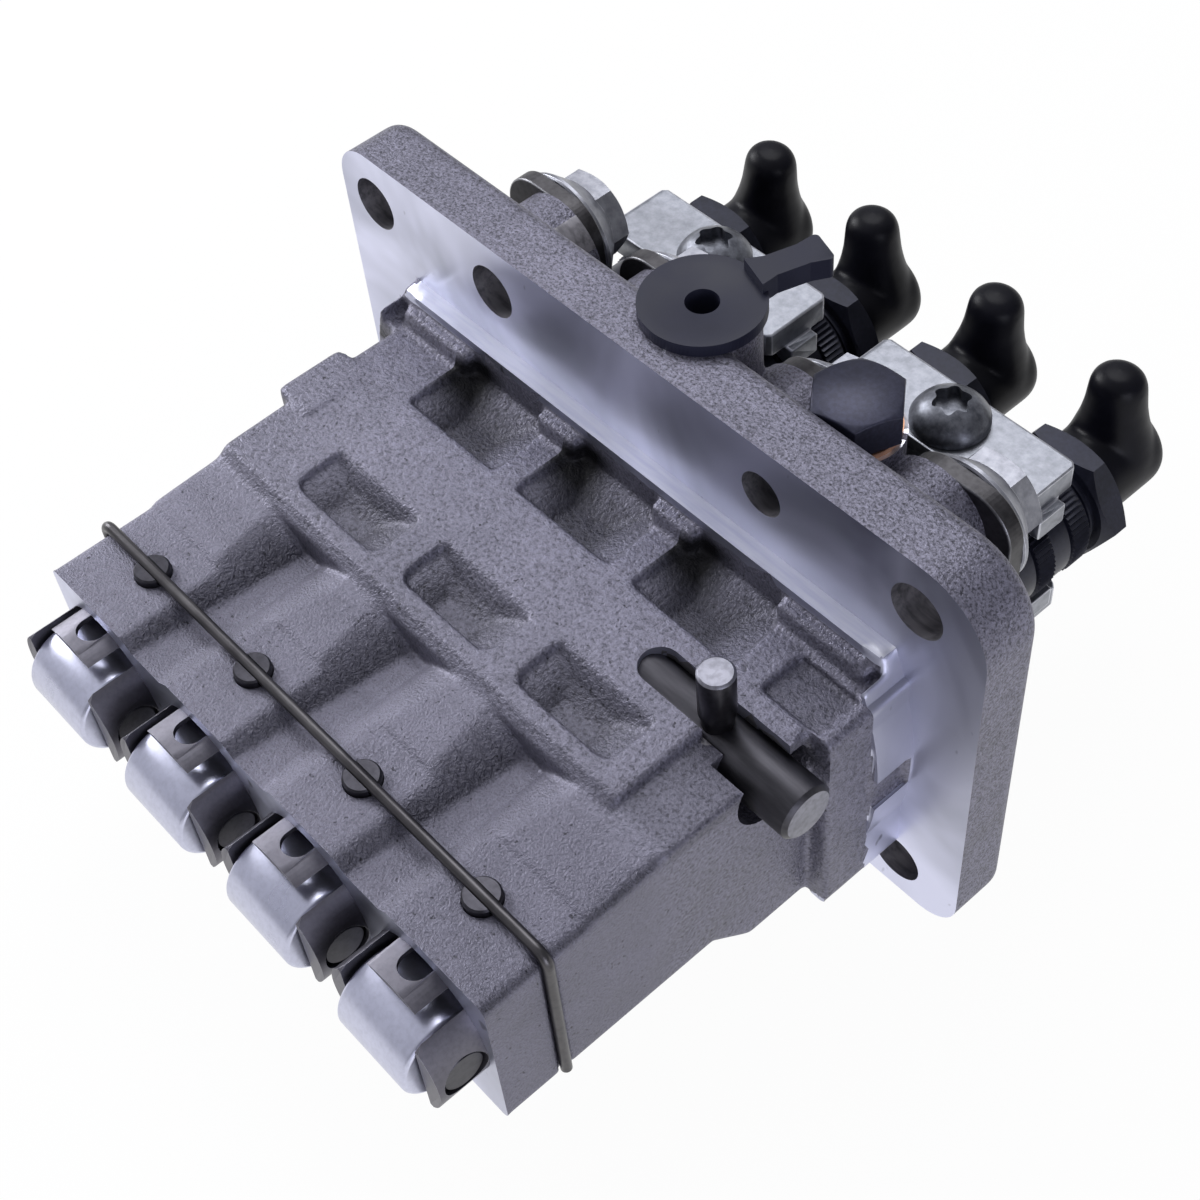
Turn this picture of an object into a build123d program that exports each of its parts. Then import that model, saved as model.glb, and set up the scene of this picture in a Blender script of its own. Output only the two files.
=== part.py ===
from build123d import *
import math
import os

# Inline fuel injection pump with four pumping elements, millimetres.
# While it is modelled, the plunger axes lie at z = 0 and the mounting face of the flange at y = 0.
# Delivery side is +Y, camshaft side is -Y, the face with the rack pin is +Z.
# Every finished piece is then moved so that the origin is the centre of the flange's bolt pattern.

# Element row
elements = 4
pitch = 28.0
running_gap = 0.05
assembly_gap = 0.15
loose_gap = 0.3

# Bolt pattern of the flange and where its centre lies from the middle of the plunger row
bolt_span_x = 126.0
bolt_span_z = 66.5
inner_span_x = 63.0
bolt_hole_radius = 5.0
locating_hole_radius = 4.1
locating_hole_depth = 10.0
pattern_x = -2.75
pattern_z = 2.75

# Flange plate, margins measured from the bolt holes
flange_thickness = 12.0
flange_margin_left = 8.9
flange_margin_right = 13.4
flange_margin_top = 9.9
flange_margin_bottom = 8.8
flange_corner = 8.0
flange_corner_right = 13.0
flange_rear_round = 3.0

# Pilot that centres the pump in the engine
pilot_radius = 62.0
pilot_flat_top = 24.5
pilot_flat_bottom = 34.0
pilot_band = 3.3
pilot_depth = 8.0
pilot_relief_half = 3.4
pilot_relief_z = -2.4
pilot_relief_depth = 1.2

# Casting between the flange and the tappet end
body_left = 55.0
body_right = 56.0
body_length = 80.0
body_top = 15.3
body_bottom = 18.7
ledge_setback = 20.0
ledge_height = 0.7
frame_edge = 44.7
frame_slope = 2.1
frame_foot = 16.7
frame_top = 18.4
frame_back = 16.2
frame_end = 44.6
frame_end_top = 16.9
shelf_top = 19.2
lip_edge = 6.2
lip_top = 22.3
rear_step = 38.0
rear_depth = 26.0
end_tower_right = 60.3
end_tower_length = 17.0
body_edge_round = 1.6

# Crests over the elements; between them lie valleys, pockets and windows
crest_radius = 17.0
valley_floor = 12.0
valley_floor_end = 13.7
pocket_bulge_radius = 17.7
pocket_width = 21.4
pocket_front = 41.6
pocket_back = 31.2
pocket_floor = 14.6
pocket_corner = 2.4
window_bulge_radius = 18.3
window_width = 22.6
window_width_back = 21.0
window_width_lip = 18.4
window_front = 16.7
window_floor = 15.2
window_floor_back = 18.0
window_corner = 0.8
recess_left = 45.4
recess_right = 57.6
recess_front = 16.4
recess_back = 7.7
recess_depth = 1.5

# Tappet and its roller
tappet_radius = 12.5
tappet_reach = 9.0
fork_height = 3.0
tappet_length = 33.0
tappet_wall = 2.2
tappet_floor = 4.0
tappet_lift = 8.0
yoke_width = 17.2
yoke_depth = 15.0
yoke_inner = 11.2
fork_bevel = 2.4
roller_radius = 8.0
roller_width = 15.8
roller_pin_radius = 4.0
roller_pin_length = 23.6
roller_setback = 5.0

# Guide pins and the wire that holds them
guide_pin_setback = 11.5
guide_pin_head_radius = 4.0
guide_pin_head_top = 16.6
guide_pin_head_height = 2.7
guide_pin_radius = 2.35
guide_pin_reach = 10.2
wire_radius = 0.95
wire_slot_depth = 1.25
wire_hook = 2.6
wire_bend = 2.4
wire_end = 17.6

# Bores of the housing
tappet_bore_depth = 40.0
spring_chamber_radius = 11.0
upper_seat_y = 33.0
sleeve_chamber_radius = 10.3
barrel_radius = 9.0
barrel_shoulder = 13.0
gallery_radius = 10.6
gallery_y = 7.0
gallery_width = 7.0
gallery_bore = 3.0
gallery_height = 11.0

# Control rack with its drive pin
rack_radius = 5.0
rack_y = 24.4
rack_height = 12.7
rack_left = 46.0
rack_right = 63.2
rack_pin_x = 44.3
rack_pin_radius = 3.0
rack_pin_neck_radius = 2.6
rack_pin_shoulder = 20.0
rack_slot_gap = 0.5
rack_pin_top = 29.6
rack_slot_start = 28.2
rack_mouth_radius = 7.4
rack_mouth_depth = 7.0
rack_boss_left = 57.8
rack_boss_half = 6.9
rack_travel_shut = 11.0
rack_travel_full = 5.0

# Teeth of the rack and of the control sleeves
teeth_per_pitch = 11
sleeve_teeth = 22
first_tooth = -3
last_tooth = 6
pressure_angle = 20.0
tooth_backlash = 0.14
tooth_tip_gap = 0.25
tooth_face = 7.0

# Plunger, barrel and control sleeve
plunger_radius = 3.25
plunger_top = 3.4
plunger_foot_radius = 5.4
plunger_foot = 1.8
vane_half = 6.1
vane_width = 2.6
vane_length = 3.0
vane_y = 43.0
nose_radius = 5.2
nose_end = 31.5
sleeve_wall = 1.4
sleeve_end = 45.0
sleeve_top = 14.6

# Plunger spring and its two seats
spring_radius = 8.7
spring_wire = 1.1
spring_turns = 6.0
seat_thickness = 2.5
seat_radius = 10.0
upper_seat_thickness = 1.5
upper_seat_radius = 10.7
upper_seat_hole = 7.1

# Barrel flange and the bolts that clamp it
deck_y = 23.0
plate_thickness = 3.2
plate_radius = 13.6
front_ear_offsets = (-5.4, -4.2, 4.2, 5.4)
rear_ear_offset = 2.0
ear_height = 24.0
ear_half = 11.0
ear_corner = 7.5
ear_root = 8.0
collar_radius = 12.0
collar_end = 33.0
clamp_bolt_radius = 4.0
clamp_flange_radius = 11.7
clamp_flange_thickness = 3.2
clamp_hex_flats = 14.6
clamp_head_height = 9.2
clamp_bolt_reach = 18.0
deck_boss_radius = 10.1
deck_boss_shift = 1.7
deck_boss_height = 25.6
seal_y = 16.0
seal_width = 1.8
seal_depth = 1.0

# Delivery valve
valve_seat_radius = 6.4
valve_seat_start = 12.2
valve_seat_length = 6.0
valve_bore = 3.0
gasket_thickness = 1.0
gasket_hole = 4.6
valve_head_radius = 3.9
valve_head_thickness = 1.7
valve_spigot_radius = 2.1
valve_spigot_length = 3.0
valve_lift = 2.0
valve_spring_radius = 3.2
valve_spring_wire = 0.5
valve_spring_turns = 7.0
valve_spring_end = 36.0
valve_chamber_radius = 4.4

# Delivery valve holder
shank_radius = 8.0
neck_radius = 10.2
holder_hex_start = 56.0
holder_hex_length = 5.3
holder_hex_flats = 22.0
union_radius = 6.0
union_end = 74.5
fuel_bore = 1.4
ring_radius = 10.6
ring_positions = (40.6, 49.2)
ring_width = 4.2

# Lock plates and their screws
lock_y = 44.2
lock_width = 14.4
lock_half_length = 20.9
lock_inner = 13.0
lock_thickness = 5.0
saddle_half = 8.6
saddle_reach = 4.2
saddle_width = 6.4
lock_screw_radius = 3.0
lock_head_radius = 6.8
lock_head_height = 5.6
lock_recess_radius = 3.1
lock_recess_depth = 3.0

# Rubber caps on the outlets
cap_wall = 2.1
cap_start = 62.4
cap_end = 77.6
finger_y = 71.2
finger_top = 20.0
finger_head_radius = 4.7
finger_neck_radius = 4.1
finger_root_radius = 7.9

# Fuel inlet on top of the flange, with its transit cap
inlet_x = 1.5
inlet_y = 14.3
inlet_boss_radius = 9.4
inlet_bore_radius = 5.1
transit_disc_radius = 10.3
transit_disc_thickness = 2.2
transit_stem_depth = 9.0
transit_hole_radius = 2.8
transit_tab_reach = 21.5
transit_tab_neck = 4.8
transit_tab_width = 6.6
transit_tab_lift = 2.0
transit_tab_angle = 72.0

# Bleed plug beside the inlet
bleed_x = 29.6
bleed_y = 19.7
bleed_boss_radius = 7.9
bleed_boss_top = 36.5
bleed_hex_flats = 14.0
bleed_hex_height = 6.5
bleed_hex_turn = 10.0
bleed_shank_radius = 3.2
bleed_shank_length = 9.0
bleed_washer_thickness = 1.0
bleed_washer_radius = 7.2

# Values that follow from the ones above
guide_pin_y = body_length - guide_pin_setback
tappet_end = body_length + tappet_reach
tappet_rim = tappet_end - fork_height
roller_axis = tappet_end - roller_setback
rack_slot_half = rack_pin_radius + rack_slot_gap
row_x = [(i - (elements - 1) / 2) * pitch for i in range(elements)]
between_x = [x + pitch / 2 for x in row_x[:-1]]
pair_x = between_x[::2]
outward = [-1 if x < 0 else 1 for x in row_x]
front_bolt_x = [x + offset for x, offset in zip(row_x, front_ear_offsets)]
rear_bolt_x = [x - side * rear_ear_offset for x, side in zip(row_x, outward)]
module = pitch / (teeth_per_pitch * math.pi)
gear_radius = module * sleeve_teeth / 2
sleeve_bore = nose_radius + running_gap
sleeve_radius = sleeve_bore + sleeve_wall
gasket_start = valve_seat_start + valve_seat_length
holder_start = gasket_start + gasket_thickness
plate_top = deck_y + plate_thickness
tappet_top = -tappet_end + tappet_length
tappet_web_low = -tappet_end + yoke_depth
tappet_web_top = tappet_web_low + tappet_floor
foot_top = tappet_web_top + plunger_foot
spring_low = tappet_web_top + plunger_foot + seat_thickness
spring_high = -upper_seat_y - upper_seat_thickness
lock_outer = lock_inner + lock_thickness
flange_left = pattern_x - bolt_span_x / 2 - flange_margin_left
flange_right = pattern_x + bolt_span_x / 2 + flange_margin_right
flange_top = pattern_z + bolt_span_z / 2 + flange_margin_top
flange_bottom = pattern_z - bolt_span_z / 2 - flange_margin_bottom
inlet_top = flange_top
wire_height = guide_pin_head_top - wire_slot_depth + wire_radius + running_gap


def block(x0, x1, y0, y1, z0, z1):
    """A box between two corners."""
    size = Box(x1 - x0, y1 - y0, z1 - z0)
    return Pos((x0 + x1) / 2, (y0 + y1) / 2, (z0 + z1) / 2) * size


def rod(radius, y0, y1, x=0.0, z=0.0):
    """A round bar along Y."""
    return Pos(x, (y0 + y1) / 2, z) * Rot(90, 0, 0) * Cylinder(radius, y1 - y0)


def ring(outer, inner, y0, y1, x=0.0, z=0.0):
    """A tube along Y."""
    return rod(outer, y0, y1, x, z) - rod(inner, y0 - 1, y1 + 1, x, z)


def post(radius, z0, z1, x, y):
    """A round bar along Z."""
    return Pos(x, y, (z0 + z1) / 2) * Cylinder(radius, z1 - z0)


def hex_bar(flats, y0, y1, x=0.0, z=0.0):
    """A hexagonal bar along Y with two of its flats facing Z."""
    outline = RegularPolygon(flats / 2, 6, major_radius=False, rotation=30)
    return Plane(origin=(x, y0, z), x_dir=(1, 0, 0), z_dir=(0, 1, 0)) * extrude(outline, y1 - y0)


def prism(points, x0, x1):
    """A solid along X whose section is given as points (y, z)."""
    outline = make_face(Polyline(*points, close=True))
    return Pos(x0, 0, 0) * (Plane.YZ * extrude(outline, x1 - x0))


def coil(radius, wire, turns, y0, y1, x=0.0):
    """A compression spring along Y, wire radius and mean radius given."""
    rise = y1 - y0 - 2 * wire
    path = Helix(rise / turns, rise, radius)
    section = Plane(origin=path @ 0, z_dir=path % 0) * RegularPolygon(wire, 6)
    spring = sweep(section, path=path)
    return Pos(x, y0 + wire, 0) * Rot(-90, 0, 0) * spring


def flange_plate():
    """The mounting flange, with a larger radius at its right-hand upper corner."""
    plate = block(flange_left, flange_right, 0, flange_thickness, flange_bottom, flange_top)
    corners = plate.edges().filter_by(Axis.Y).sort_by(lambda e: e.center().X)
    left = corners[:2]
    right = sorted(corners[2:], key=lambda e: e.center().Z)
    plate = fillet(left + right[:1], flange_corner)
    upper = plate.edges().filter_by(Axis.Y).sort_by(lambda e: e.center().X + e.center().Z)[-1]
    plate = fillet(upper, flange_corner_right)
    return fillet(plate.faces().sort_by(Axis.Y)[-1].edges(), flange_rear_round)


def pilot():
    """The turned spigot: a disc cut by two flats, with a cast relief at its right-hand side."""
    band = rod(pilot_radius, -pilot_band, 1)
    deep = rod(pilot_radius, -pilot_depth, 1)
    wide = pilot_radius + 1
    band = band & block(-wide, wide, -pilot_band, 1, -pilot_flat_bottom, pilot_flat_top)
    shallow = block(-wide, wide, -pilot_depth, 1, -pilot_flat_bottom, shelf_top)
    sides = block(-wide, wide, -pilot_depth, 1, 0, lip_top) - block(
        -recess_right, recess_right, -pilot_depth, 1, 0, lip_top,
    )
    relief = block(
        pilot_radius - pilot_relief_depth, wide, -pilot_depth, -1,
        pilot_relief_z - pilot_relief_half, pilot_relief_z + pilot_relief_half,
    )
    return band + (deep & (shallow + sides)) - relief


def casting_core():
    """The long block that holds the tappets, with the stepped front and rear faces."""
    ledge = body_length - ledge_setback
    section = [
        (-body_length, -body_bottom),
        (-body_length, body_top),
        (-ledge - ledge_height, body_top),
        (-ledge, body_top + ledge_height),
        (-frame_edge - frame_slope, frame_foot),
        (-frame_edge, frame_top),
        (-frame_back, shelf_top),
        (-lip_edge, shelf_top),
        (-lip_edge + 0.8, lip_top),
        (0.5, lip_top + 0.3),
        (0.5, -rear_depth),
        (-rear_step + 8, -rear_depth),
        (-rear_step, -body_bottom),
    ]
    core = prism(section, -body_left, body_right)
    ends = core.edges().filter_by(GeomType.LINE).filter_by(
        lambda e: abs(e.center().Y + body_length) > 1 and abs(e.center().Y) > 4
    )
    ends = ends.filter_by(lambda e: abs(abs(e.center().X) - body_left) < 2)
    core = fillet(ends, body_edge_round)
    core -= block(
        frame_end, body_right + 1, -frame_edge - frame_slope, -rack_y - rack_slot_half,
        frame_end_top, lip_top,
    )
    tower = block(body_right - 6, end_tower_right, -end_tower_length, 0.5, -rear_depth, shelf_top)
    tower = fillet(tower.edges().filter_by(Axis.Y).sort_by(Axis.X)[2:], body_edge_round)
    boss = block(
        -rack_boss_left, -body_left + 6, -rack_y - rack_boss_half, -rack_y + rack_boss_half,
        rack_height - rack_boss_half, shelf_top + 0.2,
    )
    boss = fillet(boss.edges().filter_by(Axis.Z).sort_by(Axis.X)[:2], body_edge_round)
    return core + tower + boss


def crests(radius, x, y0, y1):
    """The round metal over two neighbouring bores, which bulges into the hollow between them."""
    return rod(radius, y0, y1, x - pitch / 2) + rod(radius, y0, y1, x + pitch / 2)


def valley(x):
    """The trough between two tappet crests, shallower towards the tappet end."""
    foot = frame_edge + frame_slope
    trough = prism([
        (-body_length - 1, valley_floor_end), (-foot, valley_floor),
        (-foot, frame_foot), (-foot, shelf_top), (-body_length - 1, shelf_top),
    ], x - pitch / 2, x + pitch / 2)
    return trough - crests(crest_radius, x, -body_length - 1, -foot)


def pocket(x):
    """The shallow pocket above a valley: its floor rises to the plateau at the back."""
    size = (pocket_width, pocket_front - pocket_back)
    outline = RectangleRounded(*size, pocket_corner)
    shaft = Pos(x, -(pocket_front + pocket_back) / 2, pocket_floor) * extrude(outline, lip_top)
    depth = shelf_top - pocket_floor
    room = prism([
        (-pocket_front - 1, pocket_floor), (-pocket_front + depth, pocket_floor),
        (-pocket_back - depth * 0.7, pocket_floor + depth * 0.25), (-pocket_back, shelf_top),
        (-pocket_back, lip_top), (-pocket_front - 1, lip_top),
    ], x - pitch / 2, x + pitch / 2)
    return (shaft & room) - crests(pocket_bulge_radius, x, -pocket_front - 1, -pocket_back + 1)


def window(x):
    """The pocket under the spigot: wide in the shelf, narrower where it passes the lip."""
    front, back, lip = window_width / 2, window_width_back / 2, window_width_lip / 2
    outline = make_face(Polyline(
        (x - front, -window_front), (x + front, -window_front),
        (x + back, -lip_edge), (x + lip, -lip_edge + 1), (x + lip, -pilot_band),
        (x - lip, -pilot_band), (x - lip, -lip_edge + 1), (x - back, -lip_edge), close=True,
    ))
    shaft = Pos(0, 0, window_floor) * extrude(outline, lip_top)
    corners = shaft.edges().filter_by(Axis.Z).filter_by(lambda e: abs(e.center().Y + lip_edge) > 2)
    shaft = fillet(corners, window_corner)
    depth = shelf_top - window_floor
    room = prism([
        (-window_front - 1, window_floor), (-lip_edge - depth, window_floor),
        (-lip_edge, (window_floor + window_floor_back) / 2), (-pilot_band, window_floor_back),
        (-pilot_band, pilot_flat_top), (-window_front - 1, pilot_flat_top),
    ], x - pitch / 2, x + pitch / 2)
    return (shaft & room) - crests(window_bulge_radius, x, -window_front - 1, 0)


def front_cutouts():
    """Valleys, pockets and windows between the elements, and the recess beside the rack."""
    cuts = []
    for x in between_x:
        cuts += [valley(x), pocket(x), window(x)]
    cuts.append(block(
        recess_left, recess_right, -recess_front, -recess_back, shelf_top - recess_depth, lip_top,
    ))
    return cuts


def delivery_deck():
    """The raised deck on the back of the flange that carries the barrel flanges."""
    half = plate_radius + 1.4
    end = row_x[-1] + plate_radius
    deck = block(-end, end, flange_thickness - 1, deck_y, -half, half)
    deck = fillet(deck.edges().filter_by(Axis.Y), 6)
    for x, side in zip(row_x, outward):
        for sign in (1, -1):
            centre = x + sign * side * deck_boss_shift
            z = sign * deck_boss_height
            deck += rod(deck_boss_radius, flange_thickness - 1, deck_y, centre, z)
            low, high = sorted((0, z))
            deck += block(
                centre - deck_boss_radius, centre + deck_boss_radius,
                flange_thickness - 1, deck_y, low, high,
            )
    return deck


def top_bosses():
    """The fuel inlet boss and the bleed plug boss, trimmed flush with the deck."""
    inlet = post(inlet_boss_radius, 8, inlet_top, inlet_x, inlet_y)
    bleed = post(bleed_boss_radius, 8, bleed_boss_top, bleed_x, bleed_y)
    wide = pilot_radius
    deck_room = block(-wide, wide, 1, deck_y, 0, flange_top)
    high = ear_height + clamp_flange_radius + loose_gap
    bleed -= block(-wide, wide, deck_y, 2 * deck_y, 0, ear_height - ear_root)
    for x in front_bolt_x[-2:]:
        half = clamp_flange_radius + loose_gap
        bleed -= block(x - half, x + half, deck_y, 2 * deck_y, 0, high)
    return (inlet & deck_room) + bleed


def element_bores(x):
    """What is machined through the casting for one element."""
    wall = body_length + 1
    cuts = [
        rod(tappet_radius + running_gap, -wall, -tappet_bore_depth, x),
        rod(spring_chamber_radius, -wall, -upper_seat_y, x),
        rod(sleeve_chamber_radius, -wall, -barrel_shoulder, x),
        rod(barrel_radius + running_gap, -wall, deck_y + 1, x),
        rod(gallery_radius, gallery_y - gallery_width / 2, gallery_y + gallery_width / 2, x),
        post(guide_pin_radius + running_gap, 0, body_top + 3, x, -guide_pin_y),
        post(
            guide_pin_head_radius + assembly_gap, guide_pin_head_top - guide_pin_head_height,
            body_top + 3, x, -guide_pin_y,
        ),
    ]
    return cuts


def rack_cuts():
    """The rack bore, its wider mouth and the slot for the drive pin."""
    bore = Pos(0, -rack_y, rack_height) * Rot(0, 90, 0)
    length = rack_boss_left + end_tower_right + 8
    cuts = [bore * Cylinder(rack_radius + running_gap, length)]
    mouth = Pos(body_right - rack_mouth_depth / 2 + 4, 0, 0) * bore
    cuts.append(mouth * Cylinder(rack_mouth_radius, rack_mouth_depth + 8))
    end = rack_slot_start + rack_slot_half
    cuts.append(block(
        end, end_tower_right + 4, -rack_y - rack_slot_half, -rack_y + rack_slot_half,
        rack_height, lip_top,
    ))
    cuts.append(post(rack_slot_half, rack_height, lip_top, end, -rack_y))
    return cuts


def bolt_holes():
    """Holes of the flange: four through corners, one more along the top and the blind locating hole."""
    cuts = []
    for side in (-1, 1):
        for level in (-1, 1):
            x = pattern_x + side * bolt_span_x / 2
            z = pattern_z + level * bolt_span_z / 2
            cuts.append(rod(bolt_hole_radius, -1, flange_thickness + 1, x, z))
    z = pattern_z + bolt_span_z / 2
    cuts.append(rod(bolt_hole_radius, -1, flange_thickness + 1, pattern_x - inner_span_x / 2, z))
    cuts.append(rod(locating_hole_radius, -1, locating_hole_depth, pattern_x + inner_span_x / 2, z))
    return cuts


def clamp_bolt_places():
    """Where the clamp bolts stand, as points (x, z): a front row and a rear row."""
    return [(x, ear_height) for x in front_bolt_x] + [(x, -ear_height) for x in rear_bolt_x]


def deck_cuts():
    """Threaded holes of the deck and the drillings of the two top bosses."""
    cuts = []
    bottom = plate_top - clamp_bolt_reach - 1
    for x, z in clamp_bolt_places():
        cuts.append(rod(clamp_bolt_radius, bottom, deck_y + 1, x, z))
    cuts.append(post(inlet_bore_radius, gallery_height, inlet_top + 1, inlet_x, inlet_y))
    cuts.append(post(
        bleed_shank_radius, bleed_boss_top - bleed_shank_length - 3, flange_top + 5, bleed_x, bleed_y,
    ))
    gallery = Pos(0, gallery_y, gallery_height) * Rot(0, 90, 0)
    cuts.append(gallery * Cylinder(gallery_bore, row_x[-1] - row_x[0]))
    return cuts


def housing():
    """The cast aluminium pump housing, one piece with its mounting flange."""
    body = casting_core() + pilot() + flange_plate() + delivery_deck() + top_bosses()
    cuts = front_cutouts() + rack_cuts() + bolt_holes() + deck_cuts()
    for x in row_x:
        cuts += element_bores(x)
    groove = wire_radius + assembly_gap
    cuts.append(block(
        body_right - wire_radius, body_right + 4, -guide_pin_y - groove, -guide_pin_y + groove,
        -body_bottom - 1, body_top + 4,
    ))
    cuts.append(block(
        body_right - wire_bend, body_right + 4, -guide_pin_y - groove, -guide_pin_y + groove,
        body_top - wire_radius, body_top + 4,
    ))
    return body - cuts


def clamping_plate(x, front_x, rear_x):
    """The barrel flange: a disc with two ears, diagonally opposite."""
    plate = rod(plate_radius, deck_y, plate_top, x)
    for centre, sign in ((front_x, 1), (rear_x, -1)):
        low, high = sorted((sign * ear_root, sign * (ear_height + ear_half)))
        ear = block(centre - ear_half, centre + ear_half, deck_y, plate_top, low, high)
        outer = ear.edges().filter_by(Axis.Y).filter_by(lambda e: abs(e.center().Z) > ear_height)
        plate += fillet(outer, ear_corner)
    return plate


def barrel(x, front_x, rear_x):
    """The plunger barrel with the flange that the clamp bolts hold."""
    body = rod(nose_radius, -nose_end, 0, x) + rod(barrel_radius, -barrel_shoulder, deck_y, x)
    body += clamping_plate(x, front_x, rear_x) + rod(collar_radius, deck_y, collar_end, x)
    body -= rod(plunger_radius + running_gap, -nose_end - 1, collar_end, x)
    body -= rod(valve_seat_radius + running_gap, valve_seat_start, collar_end, x)
    body -= rod(shank_radius + running_gap, holder_start, collar_end + 1, x)
    body -= Pos(x, gallery_y, 0) * Cylinder(1.4, 4 * barrel_radius)
    groove_low = seal_y - seal_width / 2
    body -= ring(barrel_radius + 1, barrel_radius - seal_depth, groove_low, groove_low + seal_width, x)
    for centre, sign in ((front_x, 1), (rear_x, -1)):
        body -= rod(clamp_bolt_radius + loose_gap, 0, plate_top + 1, centre, sign * ear_height)
    return body


def barrel_seal(x):
    """The rubber ring in the barrel's groove."""
    low = seal_y - seal_width / 2 + running_gap
    return ring(barrel_radius, barrel_radius - seal_depth + running_gap, low, low + seal_width - 0.1, x)


def clamp_bolt(x, z):
    """A flanged hexagon bolt that holds one ear of a barrel flange."""
    head_top = plate_top + clamp_head_height
    dish = Plane(origin=(x, plate_top, z), x_dir=(1, 0, 0), z_dir=(0, 1, 0))
    skirt = dish * Pos(0, 0, clamp_flange_thickness / 2) * Cylinder(
        clamp_flange_radius, clamp_flange_thickness
    )
    head = hex_bar(clamp_hex_flats, plate_top + clamp_flange_thickness, head_top, x, z)
    shank = rod(clamp_bolt_radius - running_gap, plate_top - clamp_bolt_reach, plate_top, x, z)
    return skirt + head + shank


def delivery_holder(x):
    """The delivery valve holder: shank, serrated neck, hexagon and outlet union."""
    body = rod(shank_radius, holder_start, collar_end + running_gap, x)
    body += rod(neck_radius, collar_end + running_gap, holder_hex_start, x)
    for start in ring_positions:
        body += rod(ring_radius, start, start + ring_width, x)
    body += hex_bar(holder_hex_flats, holder_hex_start, holder_hex_start + holder_hex_length, x)
    body += rod(union_radius, holder_hex_start, union_end, x)
    body -= rod(valve_chamber_radius, holder_start - 1, valve_spring_end, x)
    body -= rod(fuel_bore, holder_start, union_end + 1, x)
    cone = Pos(x, union_end - 1.4, 0) * Rot(90, 0, 0) * Cone(3.4, 1.4, 3)
    return body - cone


def valve_seat(x):
    """The delivery valve seat pressed against the top of the barrel."""
    end = valve_seat_start + valve_seat_length
    return ring(valve_seat_radius, valve_bore + running_gap, valve_seat_start, end, x)


def valve_gasket(x):
    """The copper gasket between the valve seat and its holder."""
    return ring(valve_seat_radius, gasket_hole, gasket_start, gasket_start + gasket_thickness, x)


def delivery_valve(x):
    """The valve piston: guide stem, collar and spring spigot."""
    top = gasket_start + valve_head_thickness
    stem = rod(valve_bore, valve_seat_start + 0.6, gasket_start, x)
    head = rod(valve_head_radius, gasket_start, top, x)
    return stem + head + rod(valve_spigot_radius, top, top + valve_spigot_length, x)


def valve_spring(x):
    """The small spring that shuts the delivery valve."""
    start = gasket_start + valve_head_thickness
    return coil(valve_spring_radius, valve_spring_wire, valve_spring_turns, start, valve_spring_end, x)


def tappet(x):
    """The roller tappet: a cup for the spring, a fork for the roller and the guide slot."""
    body = rod(tappet_radius, -tappet_end, tappet_top, x)
    half = yoke_width / 2
    wide = tappet_radius + 1
    body -= block(x - half, x + half, -tappet_end - 1, -tappet_rim, -wide, wide)
    body -= block(x - half, x + half, -tappet_end - 1, tappet_web_low, -yoke_inner, yoke_inner)
    for sign in (1, -1):
        tip = prism([
            (-tappet_end - 1, sign * (wide - 3 - fork_bevel * 1.2)),
            (-tappet_end - 1, sign * wide), (-tappet_rim, sign * wide),
            (-tappet_rim, sign * (wide - 3)), (-tappet_rim - 0.6, sign * (wide - 3.6)),
        ], x - wide, x + wide)
        body -= tip
    body -= rod(tappet_radius - tappet_wall, tappet_web_top, tappet_top + 1, x)
    pin_hole = Pos(x, -roller_axis, 0) * Rot(0, 90, 0)
    body -= pin_hole * Cylinder(roller_pin_radius, 2 * wide)
    slot_half = guide_pin_radius + assembly_gap
    slot_low = -guide_pin_y - tappet_lift - 5
    slot_high = -guide_pin_y + loose_gap
    inner = guide_pin_reach - loose_gap
    body -= block(x - slot_half, x + slot_half, slot_low, slot_high, inner, wide)
    for y in (slot_low, slot_high):
        body -= post(slot_half, inner, wide, x, y)
    return body


def roller(x):
    """The hardened roller that runs on the cam."""
    body = Cylinder(roller_radius, roller_width)
    body = chamfer(body.edges(), 0.5)
    body -= Cylinder(roller_pin_radius + running_gap, roller_width + 1)
    return Pos(x, -roller_axis, 0) * Rot(0, 90, 0) * body


def roller_pin(x):
    """The pin that carries the roller, held in the two ears of the tappet."""
    body = Cylinder(roller_pin_radius, roller_pin_length)
    body = chamfer(body.edges(), 0.6)
    return Pos(x, -roller_axis, 0) * Rot(0, 90, 0) * body


def plunger(x):
    """The plunger with its foot and the two vanes that the sleeve turns."""
    body = rod(plunger_radius, tappet_web_top, plunger_top, x)
    body += rod(plunger_foot_radius, tappet_web_top, foot_top, x)
    body += block(
        x - vane_half, x + vane_half, -vane_y, -vane_y + vane_length, -vane_width / 2, vane_width / 2,
    )
    helix_cut = block(x + 1.6, x + 4, plunger_top - 9, plunger_top - 3, -4, 4)
    return body - helix_cut


def lower_seat(x):
    """The lower spring seat, hooked over the plunger's foot."""
    body = rod(seat_radius, tappet_web_top, spring_low, x)
    foot = plunger_foot_radius + loose_gap
    stem = plunger_radius + loose_gap
    body -= rod(foot, tappet_web_top - 1, foot_top, x)
    body -= block(x - foot, x + foot, tappet_web_top - 1, foot_top, 0, seat_radius + 1)
    body -= rod(stem, tappet_web_top, spring_low + 1, x)
    return body - block(x - stem, x + stem, foot_top - 1, spring_low + 1, 0, seat_radius + 1)


def upper_seat(x):
    """The upper spring seat against the housing shoulder."""
    return ring(upper_seat_radius, upper_seat_hole, spring_high, -upper_seat_y, x)


def plunger_spring(x):
    """The plunger's return spring."""
    return coil(spring_radius, spring_wire, spring_turns, spring_low, spring_high, x)


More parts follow.
